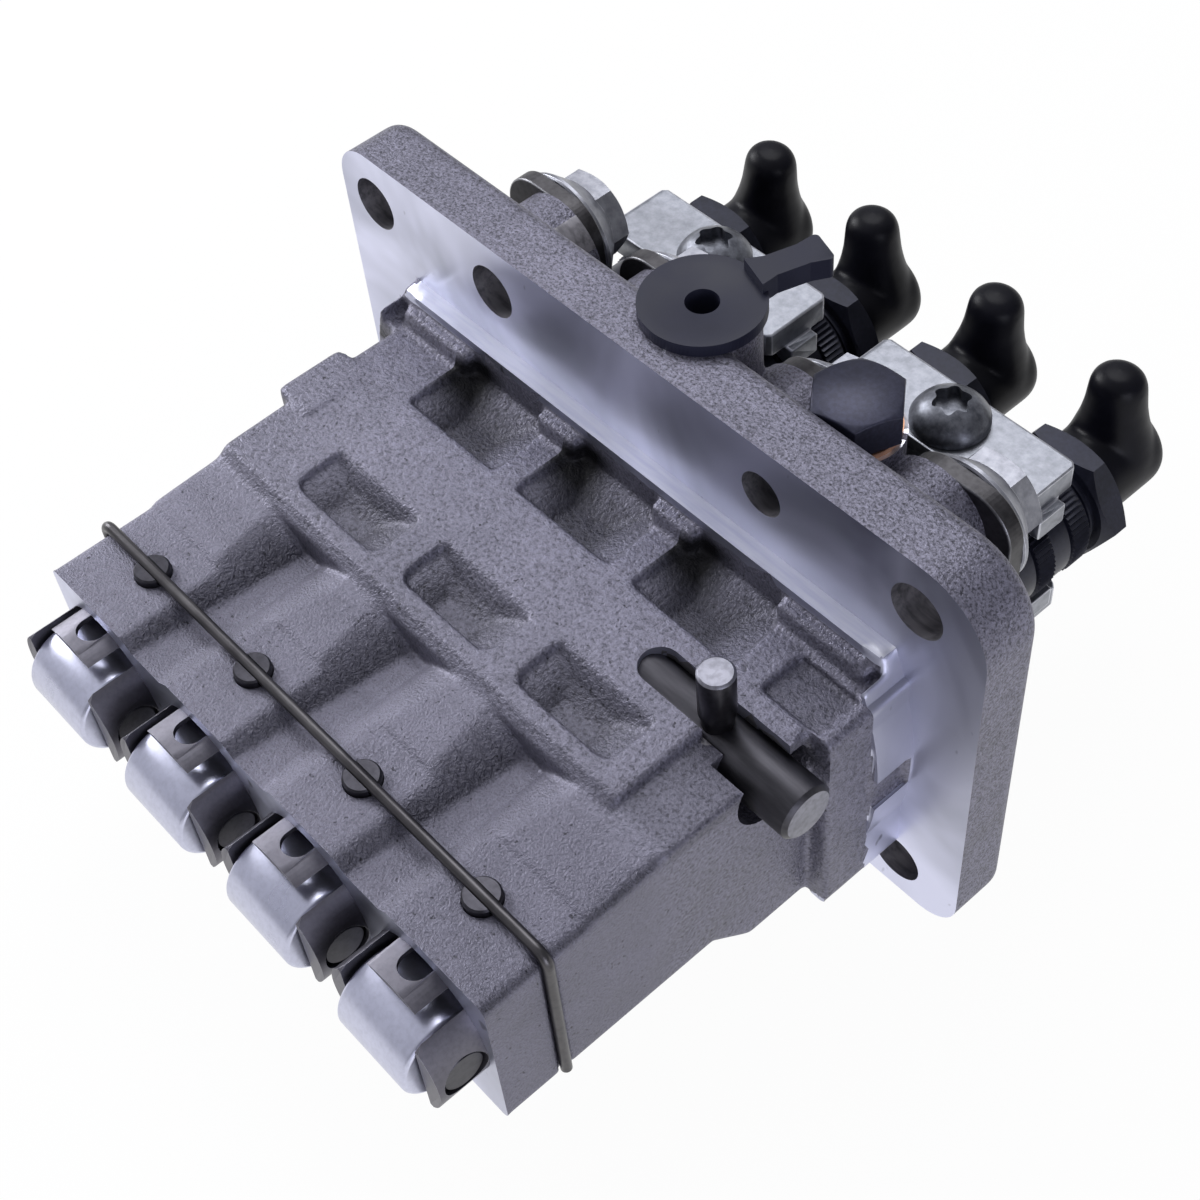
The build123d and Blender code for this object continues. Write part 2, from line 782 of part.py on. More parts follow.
def involute_turn(radius):
    """The angle, in radians, by which an involute flank has turned at a radius."""
    base = gear_radius * math.cos(math.radians(pressure_angle))
    ratio = max(radius / base, 1.0)
    roll = math.sqrt(ratio * ratio - 1)
    return roll - math.atan(roll)


def sleeve_tooth():
    """One tooth of the sleeve, pointing along +Z, as an outline in the (x, z) plane."""
    tip = gear_radius + module
    root = gear_radius - module - tooth_tip_gap
    half_pitch = (math.pi * module / 2 - tooth_backlash) / (2 * gear_radius)
    start = half_pitch + involute_turn(gear_radius)
    steps = 5
    radii = [root + (tip - root) * i / (steps - 1) for i in range(steps)]
    flank = []
    for radius in radii:
        angle = start - involute_turn(radius)
        flank.append((radius * math.sin(angle), radius * math.cos(angle)))
    inner = (flank[0][0], sleeve_bore + sleeve_wall / 2)
    right = [inner] + flank
    left = [(-px, pz) for px, pz in reversed(right)]
    return make_face(Polyline(*(right + left), close=True))


def control_sleeve(x):
    """The sleeve that turns a plunger: tube, toothed sector and driving slots."""
    low = -rack_y - tooth_face / 2
    body = ring(sleeve_radius, sleeve_bore, -sleeve_end, -sleeve_top, x)
    root = gear_radius - module - tooth_tip_gap
    body += ring(root, sleeve_bore, low, low + tooth_face, x)
    plane = Plane(origin=(x, low, 0), x_dir=(1, 0, 0), z_dir=(0, -1, 0))
    tooth = plane * extrude(sleeve_tooth(), -tooth_face)
    for index in range(first_tooth, last_tooth + 1):
        angle = index * 360 / sleeve_teeth
        body += Pos(x, 0, 0) * Rot(0, angle, 0) * Pos(-x, 0, 0) * tooth
    slot_half = vane_width / 2 + assembly_gap
    slot_top = -vane_y + vane_length + tappet_lift + loose_gap
    wide = sleeve_radius + 1
    body -= block(x - wide, x + wide, -sleeve_end - 1, slot_top, -slot_half, slot_half)
    return body


def control_rack():
    """The round rack with teeth along its underside."""
    axis = Pos((rack_right - rack_left) / 2, -rack_y, rack_height) * Rot(0, 90, 0)
    bar = Cylinder(rack_radius, rack_right + rack_left)
    bar = axis * chamfer(bar.edges(), 0.7)
    tip = gear_radius - module + tooth_backlash / 2
    root = gear_radius + module + tooth_tip_gap
    low = rack_height - rack_radius - 1
    toothed_end = row_x[-1] + rack_travel_shut + gear_radius * 0.72
    bar -= block(-rack_left - 1, toothed_end, -rack_y - 6, -rack_y + 6, low, tip)
    slope = math.tan(math.radians(pressure_angle))
    space = math.pi * module / 4 + tooth_backlash / 2
    wide = space + (gear_radius - tip) * slope
    narrow = space - (root - gear_radius) * slope
    gap = make_face(Polyline(
        (-wide, tip - 0.01), (wide, tip - 0.01), (narrow, root), (-narrow, root), close=True,
    ))
    plane = Plane(origin=(0, -rack_y - 6, 0), x_dir=(1, 0, 0), z_dir=(0, -1, 0))
    cut = plane * extrude(gap, -12)
    tooth_pitch = math.pi * module
    first = math.floor((-rack_left - row_x[0]) / tooth_pitch)
    last = math.floor((toothed_end - row_x[0]) / tooth_pitch)
    cuts = [Pos(row_x[0] + i * tooth_pitch, 0, 0) * cut for i in range(first, last + 1)]
    bar -= cuts
    hole_top = rack_height + rack_radius + 1
    return bar - post(rack_pin_neck_radius, rack_height, hole_top, rack_pin_x, -rack_y)


def rack_pin():
    """The upright pin by which the governor moves the rack, with a thinner pressed neck."""
    length = rack_pin_top - rack_pin_shoulder
    head = Pos(0, 0, rack_pin_shoulder + length / 2) * Cylinder(rack_pin_radius, length)
    head = chamfer(head.edges().sort_by(Axis.Z)[-1], 0.4)
    head = Pos(rack_pin_x, -rack_y, 0) * head
    return head + post(rack_pin_neck_radius, rack_height, rack_pin_shoulder, rack_pin_x, -rack_y)


def guide_pin(x):
    """The slotted pin that keeps a tappet from turning."""
    bottom = guide_pin_head_top - guide_pin_head_height
    head = post(guide_pin_head_radius, bottom, guide_pin_head_top, x, -guide_pin_y)
    dog = post(guide_pin_radius, guide_pin_reach, bottom, x, -guide_pin_y)
    half = wire_radius + running_gap
    floor = guide_pin_head_top - wire_slot_depth
    slot = block(
        x - 6, x + 6, -guide_pin_y - half, -guide_pin_y + half, floor, guide_pin_head_top + 1,
    )
    return head + dog - slot


def retaining_wire():
    """The spring wire that lies in the pin slots and clips down the end face."""
    right = body_right + assembly_gap / 2
    route = FilletPolyline(
        (-body_left - wire_radius - assembly_gap, -guide_pin_y, wire_height - wire_hook - 1),
        (-body_left - wire_radius - assembly_gap, -guide_pin_y, wire_height),
        (right, -guide_pin_y, wire_height),
        (right, -guide_pin_y, -wire_end),
        radius=wire_bend,
    )
    section = Plane(origin=route @ 0, z_dir=route % 0) * Circle(wire_radius)
    return sweep(section, path=route)


def lock_plate(x, sign):
    """One lock plate over two neighbouring holders; sign picks the front or the rear one."""
    z0, z1 = sorted((sign * lock_inner, sign * lock_outer))
    low = lock_y - lock_width / 2
    plate = block(x - lock_half_length, x + lock_half_length, low, low + lock_width, z0, z1)
    plate = chamfer(plate.edges().filter_by(Axis.Z), 0.8)
    pad_low, pad_high = sorted((sign * (lock_inner - saddle_reach), sign * lock_inner))
    for side in (-1, 1):
        centre = x + side * pitch / 2
        pad = block(
            centre - saddle_half, centre + saddle_half, lock_y - saddle_width / 2,
            lock_y + saddle_width / 2, pad_low, pad_high,
        )
        plate += pad - rod(ring_radius + running_gap, low, low + lock_width, centre)
    return plate - post(lock_screw_radius + running_gap, z0 - 1, z1 + 1, x, lock_y)


def lock_screw(x):
    """The domed screw that draws a front and a rear lock plate together."""
    head = Cylinder(lock_head_radius, lock_head_height)
    head = fillet(head.edges().sort_by(Axis.Z)[-1], lock_head_height * 0.75)
    head -= Pos(0, 0, lock_head_height / 2 - lock_recess_depth / 2) * Cylinder(
        lock_recess_radius, lock_recess_depth
    )
    head = Pos(x, lock_y, lock_outer + lock_head_height / 2) * head
    return head + post(lock_screw_radius, -lock_outer - 1.5, lock_outer, x, lock_y)


def outlet_cap(x):
    """The rubber transit cap of one outlet: a cup with a finger grip."""
    outer = union_radius + cap_wall
    cup = rod(outer, cap_start, cap_end, x)
    cup = fillet(cup.edges().filter_by(GeomType.CIRCLE).sort_by(Axis.Y)[-1], 3.2)
    head_y = finger_top - finger_head_radius
    side = Spline(
        (finger_root_radius, 0), (finger_root_radius * 0.86, finger_top * 0.24),
        (finger_neck_radius * 1.1, finger_top * 0.46), (finger_neck_radius, finger_top * 0.58),
        (finger_head_radius, head_y + 0.4), (finger_head_radius * 0.75, finger_top - 1.1),
        (0, finger_top), tangents=[(0, 1), (-1, 0)],
    )
    outline = make_face([side, Line((0, finger_top), (0, 0)), Line((0, 0), (finger_root_radius, 0))])
    finger = Pos(x, finger_y, 0) * revolve(Plane.XZ * outline, Axis.Z)
    body = cup + finger
    return body - rod(union_radius + running_gap, cap_start - 1, union_end + running_gap, x)


def transit_cap():
    """The black plastic cap in the fuel inlet, with its pull tab."""
    disc = post(
        transit_disc_radius, inlet_top, inlet_top + transit_disc_thickness, inlet_x, inlet_y,
    )
    stem_radius = inlet_bore_radius - running_gap
    stem = post(stem_radius, inlet_top - transit_stem_depth, inlet_top, inlet_x, inlet_y)
    top = inlet_top + transit_disc_thickness
    neck, flare = transit_tab_neck / 2, transit_tab_width / 2
    root = transit_disc_radius - 1.5
    outline = make_face(Polyline(
        (root, -flare), (root + 3, -neck), (transit_tab_reach - 4, -neck), (transit_tab_reach, -flare),
        (transit_tab_reach, flare), (transit_tab_reach - 4, neck), (root + 3, neck), (root, flare),
        close=True,
    ))
    tab = Pos(0, 0, inlet_top + 0.3) * extrude(outline, top + transit_tab_lift - inlet_top - 0.3)
    tab = fillet(tab.edges().filter_by(Axis.Z).sort_by(Axis.X)[2:], 0.8)
    tab = Pos(inlet_x, inlet_y, 0) * Rot(0, 0, transit_tab_angle) * tab
    hole = post(transit_hole_radius, inlet_top - transit_stem_depth + 1.2, top + 1, inlet_x, inlet_y)
    return disc + stem + tab - hole


def bleed_plug():
    """The hexagon plug of the fuel gallery."""
    seat = bleed_boss_top + bleed_washer_thickness
    outline = RegularPolygon(bleed_hex_flats / 2, 6, major_radius=False, rotation=bleed_hex_turn)
    head = Pos(bleed_x, bleed_y, seat) * extrude(outline, bleed_hex_height)
    crown = Pos(bleed_x, bleed_y, seat + bleed_hex_height / 2) * Cone(
        bleed_hex_flats * 0.72, bleed_hex_flats * 0.52, bleed_hex_height
    )
    radius = bleed_shank_radius - running_gap
    return (head & crown) + post(radius, bleed_boss_top - bleed_shank_length, seat, bleed_x, bleed_y)


def bleed_washer():
    """The copper washer under the plug."""
    top = bleed_boss_top + bleed_washer_thickness
    disc = post(bleed_washer_radius, bleed_boss_top, top, bleed_x, bleed_y)
    return disc - post(bleed_shank_radius, bleed_boss_top - 1, top + 1, bleed_x, bleed_y)


def save(name, *solids):
    """Move a piece to the frame of the bolt pattern and write it."""
    to_pattern = Location((-pattern_x, 0, -pattern_z))
    placed = [piece.moved(to_pattern) for solid in solids for piece in solid.solids()]
    whole = placed[0] if len(placed) == 1 else Compound(children=placed)
    export_step(whole, os.path.join("parts", name + ".step"))


os.makedirs("parts", exist_ok=True)
save("housing", housing())
save("clamp_bolts", *[clamp_bolt(x, z) for x, z in clamp_bolt_places()])
save("barrel_seals", *[barrel_seal(x) for x in row_x])
save("valve_seats", *[valve_seat(x) for x in row_x])
save("valve_gaskets", *[valve_gasket(x) for x in row_x])
save("valve_springs", *[valve_spring(x) for x in row_x])
save("upper_spring_seats", *[upper_seat(x) for x in row_x])
save("guide_pins", *[guide_pin(x) for x in row_x])
save("guide_pin_wire", retaining_wire())
save("lock_plates", *[lock_plate(x, sign) for x in pair_x for sign in (1, -1)])
save("lock_screws", *[lock_screw(x) for x in pair_x])
save("inlet_cap", transit_cap())
save("bleed_plug", bleed_plug())
save("bleed_washer", bleed_washer())
save("control_rack", control_rack())
save("rack_drive_pin", rack_pin())
for number, x in enumerate(row_x, start=1):
    save(f"barrel_{number}", barrel(x, front_bolt_x[number - 1], rear_bolt_x[number - 1]))
    save(f"delivery_holder_{number}", delivery_holder(x))
    save(f"delivery_valve_{number}", delivery_valve(x))
    save(f"outlet_cap_{number}", outlet_cap(x))
    save(f"tappet_{number}", tappet(x))
    save(f"roller_{number}", roller(x))
    save(f"roller_pin_{number}", roller_pin(x))
    save(f"plunger_{number}", plunger(x))
    save(f"plunger_spring_{number}", plunger_spring(x))
    save(f"lower_spring_seat_{number}", lower_seat(x))
    save(f"control_sleeve_{number}", control_sleeve(x))
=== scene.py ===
import math

import bmesh
import bpy
from mathutils import Matrix, Vector


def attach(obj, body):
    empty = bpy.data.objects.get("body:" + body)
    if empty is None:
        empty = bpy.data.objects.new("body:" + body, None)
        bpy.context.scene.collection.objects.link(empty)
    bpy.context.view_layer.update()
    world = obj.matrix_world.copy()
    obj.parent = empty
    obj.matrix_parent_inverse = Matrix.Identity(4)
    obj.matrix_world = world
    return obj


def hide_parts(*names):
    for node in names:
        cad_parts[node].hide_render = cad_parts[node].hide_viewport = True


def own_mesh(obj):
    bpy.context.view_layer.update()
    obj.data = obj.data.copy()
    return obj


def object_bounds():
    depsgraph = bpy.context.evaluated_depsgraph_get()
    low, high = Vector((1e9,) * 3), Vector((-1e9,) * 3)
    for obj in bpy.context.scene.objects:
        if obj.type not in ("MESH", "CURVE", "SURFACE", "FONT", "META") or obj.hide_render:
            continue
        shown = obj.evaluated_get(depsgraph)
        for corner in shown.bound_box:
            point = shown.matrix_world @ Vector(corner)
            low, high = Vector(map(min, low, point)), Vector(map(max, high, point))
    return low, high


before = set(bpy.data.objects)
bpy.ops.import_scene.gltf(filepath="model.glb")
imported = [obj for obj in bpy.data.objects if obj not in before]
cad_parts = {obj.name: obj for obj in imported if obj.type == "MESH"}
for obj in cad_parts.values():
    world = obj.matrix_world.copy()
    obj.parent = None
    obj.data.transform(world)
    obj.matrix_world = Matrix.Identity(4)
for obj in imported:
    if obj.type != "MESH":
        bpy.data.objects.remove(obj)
cad_box = [[float(value) for value in corner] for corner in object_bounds()]


# Housing.
# One sand casting in aluminium: a long block for the tappets and a flat mounting flange.
# The mounting face, the pilot, the tappet end and the holes are machined, the rest is as cast.
MILLIMETRE = 0.001
NUMBERS = range(1, 5)
PITCH = 28.0
ROW = (-42.0, -14.0, 14.0, 42.0)
PATTERN_X = -2.75
PATTERN_Z = 2.75
CASTING_DETAIL = 9
CASTING_CELL_SHARE = 0.5
CASTING_SMOOTHING = 5
CASTING_KEPT_SHARE = 0.27
CASTING_CREASE = 50.0
SMALL_ROUND, ROUND, LARGE_ROUND = 48, 72, 96
MERGE_DISTANCE = 1e-6
CRISP_EDGE = 32.0


def finish_of(name, metallic, roughness):
    """A new material with its shader's plain values set."""
    material = bpy.data.materials.new(name)
    material.use_nodes = True
    shader = material.node_tree.nodes["Principled BSDF"]
    shader.inputs["Metallic"].default_value = metallic
    shader.inputs["Roughness"].default_value = roughness
    return material, material.node_tree, shader


def place_of(tree):
    """The point on the piece that a pattern is read at."""
    place = tree.nodes.get("Place") or tree.nodes.new("ShaderNodeTexCoord")
    place.name = "Place"
    return place.outputs["Object"]


def noise(tree, scale, detail, roughness=0.55, distortion=0.0, stretch=(1.0, 1.0, 1.0)):
    """A noise pattern; stretch squeezes it along the axes."""
    mapping = tree.nodes.new("ShaderNodeMapping")
    mapping.inputs["Scale"].default_value = stretch
    tree.links.new(place_of(tree), mapping.inputs["Vector"])
    pattern = tree.nodes.new("ShaderNodeTexNoise")
    pattern.inputs["Scale"].default_value = scale
    pattern.inputs["Detail"].default_value = detail
    pattern.inputs["Roughness"].default_value = roughness
    pattern.inputs["Distortion"].default_value = distortion
    tree.links.new(mapping.outputs["Vector"], pattern.inputs["Vector"])
    return pattern.outputs["Fac"]


def grey(value):
    return (value, value, value)


def shades(tree, source, stops):
    """A colour ramp over a pattern or a place: stops are (value, colour)."""
    ramp = tree.nodes.new("ShaderNodeValToRGB")
    while len(ramp.color_ramp.elements) < len(stops):
        ramp.color_ramp.elements.new(0.5)
    for element, (place, colour) in zip(ramp.color_ramp.elements, stops):
        element.position = place
        element.color = (*colour, 1.0)
    tree.links.new(source, ramp.inputs["Fac"])
    return ramp.outputs["Color"]


def between(tree, source, dark, light, start=0.3, end=0.7):
    """A pattern turned into the colours between two."""
    return shades(tree, source, [(start, dark), (end, light)])


def greys(tree, source, dark, light, start=0.3, end=0.7):
    """A pattern turned into the greys between two."""
    return between(tree, source, grey(dark), grey(light), start, end)


def darkened(tree, zone, share):
    """A grey that takes a colour down to a share of itself inside a zone."""
    return greys(tree, zone, 1.0, share, 0.0, 1.0)


def mixed(tree, share, first, second, mode="MIX"):
    """Two colours or heights mixed by a pattern, or by a plain number."""
    mix = tree.nodes.new("ShaderNodeMix")
    mix.data_type = "RGBA"
    mix.blend_type = mode
    if isinstance(share, float):
        mix.inputs["Factor"].default_value = share
    else:
        tree.links.new(share, mix.inputs["Factor"])
    tree.links.new(first, mix.inputs["A"])
    tree.links.new(second, mix.inputs["B"])
    return mix.outputs["Result"]


def layered(tree, colour, *layers):
    """A colour multiplied by one layer after another."""
    for layer in layers:
        colour = mixed(tree, 1.0, colour, layer, "MULTIPLY")
    return colour


def relief(tree, shader, heights):
    """Raises the surface by patterns, each given with its strength and depth in millimetres."""
    normal = None
    for height, strength, depth in heights:
        bump = tree.nodes.new("ShaderNodeBump")
        bump.inputs["Strength"].default_value = strength
        bump.inputs["Distance"].default_value = depth * MILLIMETRE
        tree.links.new(height, bump.inputs["Height"])
        if normal:
            tree.links.new(normal, bump.inputs["Normal"])
        normal = bump.outputs["Normal"]
    tree.links.new(normal, shader.inputs["Normal"])


def rising(tree, axis, low, high):
    """A value that grows from 0 to 1 between two places along an axis."""
    parts = tree.nodes.new("ShaderNodeSeparateXYZ")
    tree.links.new(place_of(tree), parts.inputs["Vector"])
    ramp = tree.nodes.new("ShaderNodeMapRange")
    ramp.inputs["From Min"].default_value = low * MILLIMETRE
    ramp.inputs["From Max"].default_value = high * MILLIMETRE
    tree.links.new(parts.outputs[axis], ramp.inputs["Value"])
    return ramp.outputs["Result"]


def repeated(tree, start, pitch, full, none):
    """A value that falls from 1 to 0 behind each of a row of evenly spaced places along X."""
    parts = tree.nodes.new("ShaderNodeSeparateXYZ")
    tree.links.new(place_of(tree), parts.inputs["Vector"])
    value = parts.outputs["X"]
    for operation, number in (("SUBTRACT", start), ("DIVIDE", pitch)):
        step = tree.nodes.new("ShaderNodeMath")
        step.operation = operation
        step.inputs[1].default_value = number * MILLIMETRE
        tree.links.new(value, step.inputs[0])
        value = step.outputs["Value"]
    rest = tree.nodes.new("ShaderNodeMath")
    rest.operation = "FRACT"
    tree.links.new(value, rest.inputs[0])
    ramp = tree.nodes.new("ShaderNodeMapRange")
    ramp.inputs["From Min"].default_value = none / pitch
    ramp.inputs["From Max"].default_value = full / pitch
    tree.links.new(rest.outputs["Value"], ramp.inputs["Value"])
    return ramp.outputs["Result"]


def turned_to(tree, axis, low, high):
    """A value that grows from 0 to 1 as the surface turns to face along an axis."""
    surface = tree.nodes.new("ShaderNodeNewGeometry")
    parts = tree.nodes.new("ShaderNodeSeparateXYZ")
    tree.links.new(surface.outputs["Normal"], parts.inputs["Vector"])
    ramp = tree.nodes.new("ShaderNodeMapRange")
    ramp.inputs["From Min"].default_value = low
    ramp.inputs["From Max"].default_value = high
    tree.links.new(parts.outputs[axis], ramp.inputs["Value"])
    return ramp.outputs["Result"]


def product(tree, values):
    """Several values between 0 and 1 multiplied."""
    result = values[0]
    for value in values[1:]:
        times = tree.nodes.new("ShaderNodeMath")
        times.operation = "MULTIPLY"
        tree.links.new(result, times.inputs[0])
        tree.links.new(value, times.inputs[1])
        result = times.outputs["Value"]
    return result


def zone(tree, *limits):
    """A value of 1 in one region of the piece; limits are (axis, none, full) in millimetres."""
    return product(tree, [rising(tree, axis, none, full) for axis, none, full in limits])


# Where the casting's finish, its painted shade and the machined faces' painted reflection change, in
# millimetres of the model; a pair is (none, full).
PLATEAU_START = (-52.0, -44.0)
FLANGE_START = (-1.0, 1.0)
# Painted shade: the pockets and windows below the plateau are darkened, the windows more.
POCKETS = (("Z", 16.4, 12.6), ("Z", 11.2, 12.0), ("Y", -46.0, -44.0), ("X", 60.0, 58.0))
WINDOWS_START = (-24.0, -20.0)
WINDOW_ENDS = (("Z", 20.0, 17.5), ("Z", 11.2, 12.0), ("Y", -15.0, -8.0), ("X", 47.0, 46.0))
# The back corner of each window is painted nearly black as a painted shadow.
WINDOW_FIRST_CORNER = -37.0
WINDOW_CORNER_WIDTH = (5.5, 11.0)
# Slopes that face +X, away from the light, take painted shade beyond the plateau's edge.
SLOPES_END = (-44.0, -50.0)
# Where the machined faces' painted reflection fades from bright to dark.
REFLECTION_FADE = (("X", 15.0, 72.0), ("Z", -28.0, 12.0))


def cast_aluminium():
    """Grey aluminium with the grain of the sand: pebbled on the plateau, finer over the tappets.
    Painted shade darkens the pockets and windows, a painted shadow blackens the back corner of each
    window, and painted shade darkens the slopes that face away from the light; the slopes also have an
    orange-peel skin."""
    material, tree, shader = finish_of("cast_aluminium", 0.6, 0.46)
    pebble = noise(tree, 1500.0, 2.0, roughness=0.7)
    sand = noise(tree, 2600.0, 2.0, roughness=0.65)
    orange_peel = noise(tree, 560.0, 2.0, roughness=0.6, distortion=2.2)
    patches = greys(tree, noise(tree, 85.0, 2.0), 0.0, 1.0, 0.42, 0.6)
    stain = noise(tree, 48.0, 4.0, roughness=0.6, distortion=0.6)
    specks = noise(tree, 1150.0, 1.0)
    dots = noise(tree, 2500.0, 1.0)
    coarse = rising(tree, "Y", *PLATEAU_START)
    # Painted shade in the pockets and windows, where little light reaches.
    hollow_shade = zone(tree, *POCKETS)
    window_shade = product(tree, [hollow_shade, rising(tree, "Y", *WINDOWS_START)])
    # Painted shadow, nearly black, in the back corner of each window.
    corner = product(tree, [
        zone(tree, *WINDOW_ENDS), repeated(tree, WINDOW_FIRST_CORNER, PITCH, *WINDOW_CORNER_WIDTH),
    ])
    # Painted shade on the slopes that face +X, away from the light; the same slopes take the orange-peel
    # bumps.
    shaded_slope = product(tree, [
        turned_to(tree, "X", -0.05, 0.6), turned_to(tree, "Z", 0.2, 0.6), rising(tree, "Y", *SLOPES_END),
    ])
    metal = between(tree, stain, (0.121, 0.118, 0.153), (0.184, 0.179, 0.228))
    contrast = mixed(
        tree, coarse,
        shades(tree, sand, [(0.3, grey(0.72)), (0.48, grey(1.0)), (0.72, grey(1.22))]),
        shades(tree, pebble, [(0.3, grey(0.5)), (0.47, grey(1.0)), (0.72, grey(1.4))]),
    )
    pits = mixed(
        tree, rising(tree, "Y", *FLANGE_START),
        greys(tree, specks, 0.3, 1.0, 0.24, 0.29), greys(tree, dots, 0.5, 1.15, 0.34, 0.5),
    )
    # The base colour with painted shade in the hollows and on the slopes, and a painted shadow in each
    # window's back corner.
    colour = layered(
        tree, metal, contrast, pits, darkened(tree, hollow_shade, 0.55), darkened(tree, window_shade, 0.7),
        darkened(tree, corner, 0.06), darkened(tree, shaded_slope, 0.62),
    )
    tree.links.new(colour, shader.inputs["Base Color"])
    tree.links.new(greys(tree, stain, 0.42, 0.55), shader.inputs["Roughness"])
    swell = greys(tree, stain, 0.5, 1.0, 0.0, 1.0)
    peel = mixed(tree, patches, swell, orange_peel)
    worms = mixed(tree, shaded_slope, swell, orange_peel)
    grain = mixed(tree, coarse, sand, pebble)
    relief(tree, shader, [(peel, 0.5, 0.2), (worms, 1.0, 0.8), (grain, 0.9, 0.28)])
    return material


def machined_aluminium():
    """The milled and turned faces: paler, with the cloudy sheen of handling and fine nicks, and a painted
    reflection that is brighter towards -X and darker towards high X and Z.
    """
    material, tree, shader = finish_of("machined_aluminium", 0.92, 0.3)
    cloud = noise(tree, 26.0, 3.0, distortion=0.8)
    scuff = noise(tree, 900.0, 3.0, roughness=0.6, stretch=(1.0, 1.0, 0.25))
    nicks = noise(tree, 420.0, 1.0, roughness=0.5, stretch=(1.0, 1.0, 0.5))
    metal = between(tree, cloud, (0.30, 0.31, 0.39), (0.62, 0.63, 0.77), 0.32, 0.62)
    marks = greys(tree, nicks, 0.45, 1.0, 0.2, 0.27)
    # Painted reflection: brighter towards -X and low Z, darker towards high X and Z.
    painted_reflection_fade = greys(tree, zone(tree, *REFLECTION_FADE), 1.16, 0.58, 0.0, 1.0)
    tree.links.new(layered(tree, metal, marks, painted_reflection_fade), shader.inputs["Base Color"])
    tree.links.new(greys(tree, cloud, 0.3, 0.44), shader.inputs["Roughness"])
    relief(tree, shader, [(scuff, 0.14, 0.05)])
    return material


def cut_aluminium(name, dark, light, roughness):
    """A face fresh from the cutter or the drill, with the fine lines that it leaves."""
    material, tree, shader = finish_of(name, 0.85, roughness)
    lines = noise(tree, 900.0, 2.0, roughness=0.6, stretch=(0.1, 1.0, 1.0))
    tree.links.new(between(tree, lines, dark, light, 0.3, 0.6), shader.inputs["Base Color"])
    relief(tree, shader, [(lines, 0.15, 0.04)])
    return material


def joined_copy(node):
    """A copy of a CAD node's mesh with its loose triangles joined."""
    bm = bmesh.new()
    bm.from_mesh(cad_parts[node].data)
    bmesh.ops.remove_doubles(bm, verts=bm.verts, dist=MERGE_DISTANCE)
    return bm


def blank_of(bm):
    """A short-lived object that holds a mesh while a modifier works on it."""
    mesh = bpy.data.meshes.new("blank")
    bm.to_mesh(mesh)
    bm.free()
    blank = bpy.data.objects.new("blank", mesh)
    bpy.context.scene.collection.objects.link(blank)
    return blank


def reshaped(bm, kind, **settings):
    """Runs one modifier over a mesh and gives the result back."""
    blank = blank_of(bm)
    modifier = blank.modifiers.new(kind, kind)
    for key, value in settings.items():
        setattr(modifier, key, value)
    graph = bpy.context.evaluated_depsgraph_get()
    result = bmesh.new()
    result.from_mesh(blank.evaluated_get(graph).to_mesh())
    blank.evaluated_get(graph).to_mesh_clear()
    bpy.data.objects.remove(blank)
    return result


def combined(bm, tool, operation):
    """Cuts, joins or intersects one closed mesh with another."""
    blank = blank_of(tool)
    result = reshaped(bm, "BOOLEAN", object=blank, operation=operation, solver="EXACT")
    bpy.data.objects.remove(blank)
    return result


def turned(profile, steps):
    """A solid turned about Z from its outline, a list of (radius, height)."""
    bm = bmesh.new()
    verts = [bm.verts.new((radius, 0.0, height)) for radius, height in profile]
    edges = [bm.edges.new(pair) for pair in zip(verts, verts[1:])]
    if profile[0][0] > 0.0:
        edges.append(bm.edges.new((verts[-1], verts[0])))
    bmesh.ops.spin(
        bm, geom=verts + edges, cent=(0.0, 0.0, 0.0), axis=(0.0, 0.0, 1.0), dvec=(0.0, 0.0, 0.0),
        angle=math.tau, steps=steps, use_merge=True, use_normal_flip=False, use_duplicate=False,
    )
    bmesh.ops.remove_doubles(bm, verts=bm.verts, dist=10 * MERGE_DISTANCE)
    bmesh.ops.recalc_face_normals(bm, faces=bm.faces)
    return bm


def softened(bm, verts, times):
    """Evens out a mesh at the given points, as often as asked."""
    for _ in range(times):
        bmesh.ops.smooth_vert(
            bm, verts=verts, factor=0.5, use_axis_x=True, use_axis_y=True, use_axis_z=True,
        )


def gathered(copies):
    """Several closed meshes as one piece."""
    whole = bmesh.new()
    for copy in copies:
        mesh = bpy.data.meshes.new("copy")
        copy.to_mesh(mesh)
        copy.free()
        whole.from_mesh(mesh)
        bpy.data.meshes.remove(mesh)
    return whole


def set_down(bm, x, y, z, along="Z"):
    """Brings a piece from its own millimetres, made along Z, to its place in the model."""
    turn = Matrix.Rotation(math.radians(-90.0), 4, "X") if along == "Y" else Matrix.Identity(4)
    place = Matrix.Translation(Vector((x - PATTERN_X, y, z - PATTERN_Z)) * MILLIMETRE)
    bmesh.ops.transform(bm, matrix=place @ Matrix.Scale(MILLIMETRE, 4) @ turn, verts=bm.verts)
    return bm


def shown(name, bm, body, finishes, replaced, crease=CRISP_EDGE):
    """Makes the piece from its mesh and lets it ride on its body."""
    mesh = bpy.data.meshes.new(name)
    bm.to_mesh(mesh)
    bm.free()
    for finish in finishes:
        mesh.materials.append(finish)
    mesh.shade_smooth()
    mesh.set_sharp_from_angle(angle=math.radians(crease))
    piece = bpy.data.objects.new(name, mesh)
    bpy.context.scene.collection.objects.link(piece)
    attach(piece, body)
    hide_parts(*replaced)
    return piece


def row_place(point):
    """A point of the model in millimetres from the middle of the plunger row."""
    return point.x / MILLIMETRE + PATTERN_X, point.y / MILLIMETRE, point.z / MILLIMETRE + PATTERN_Z


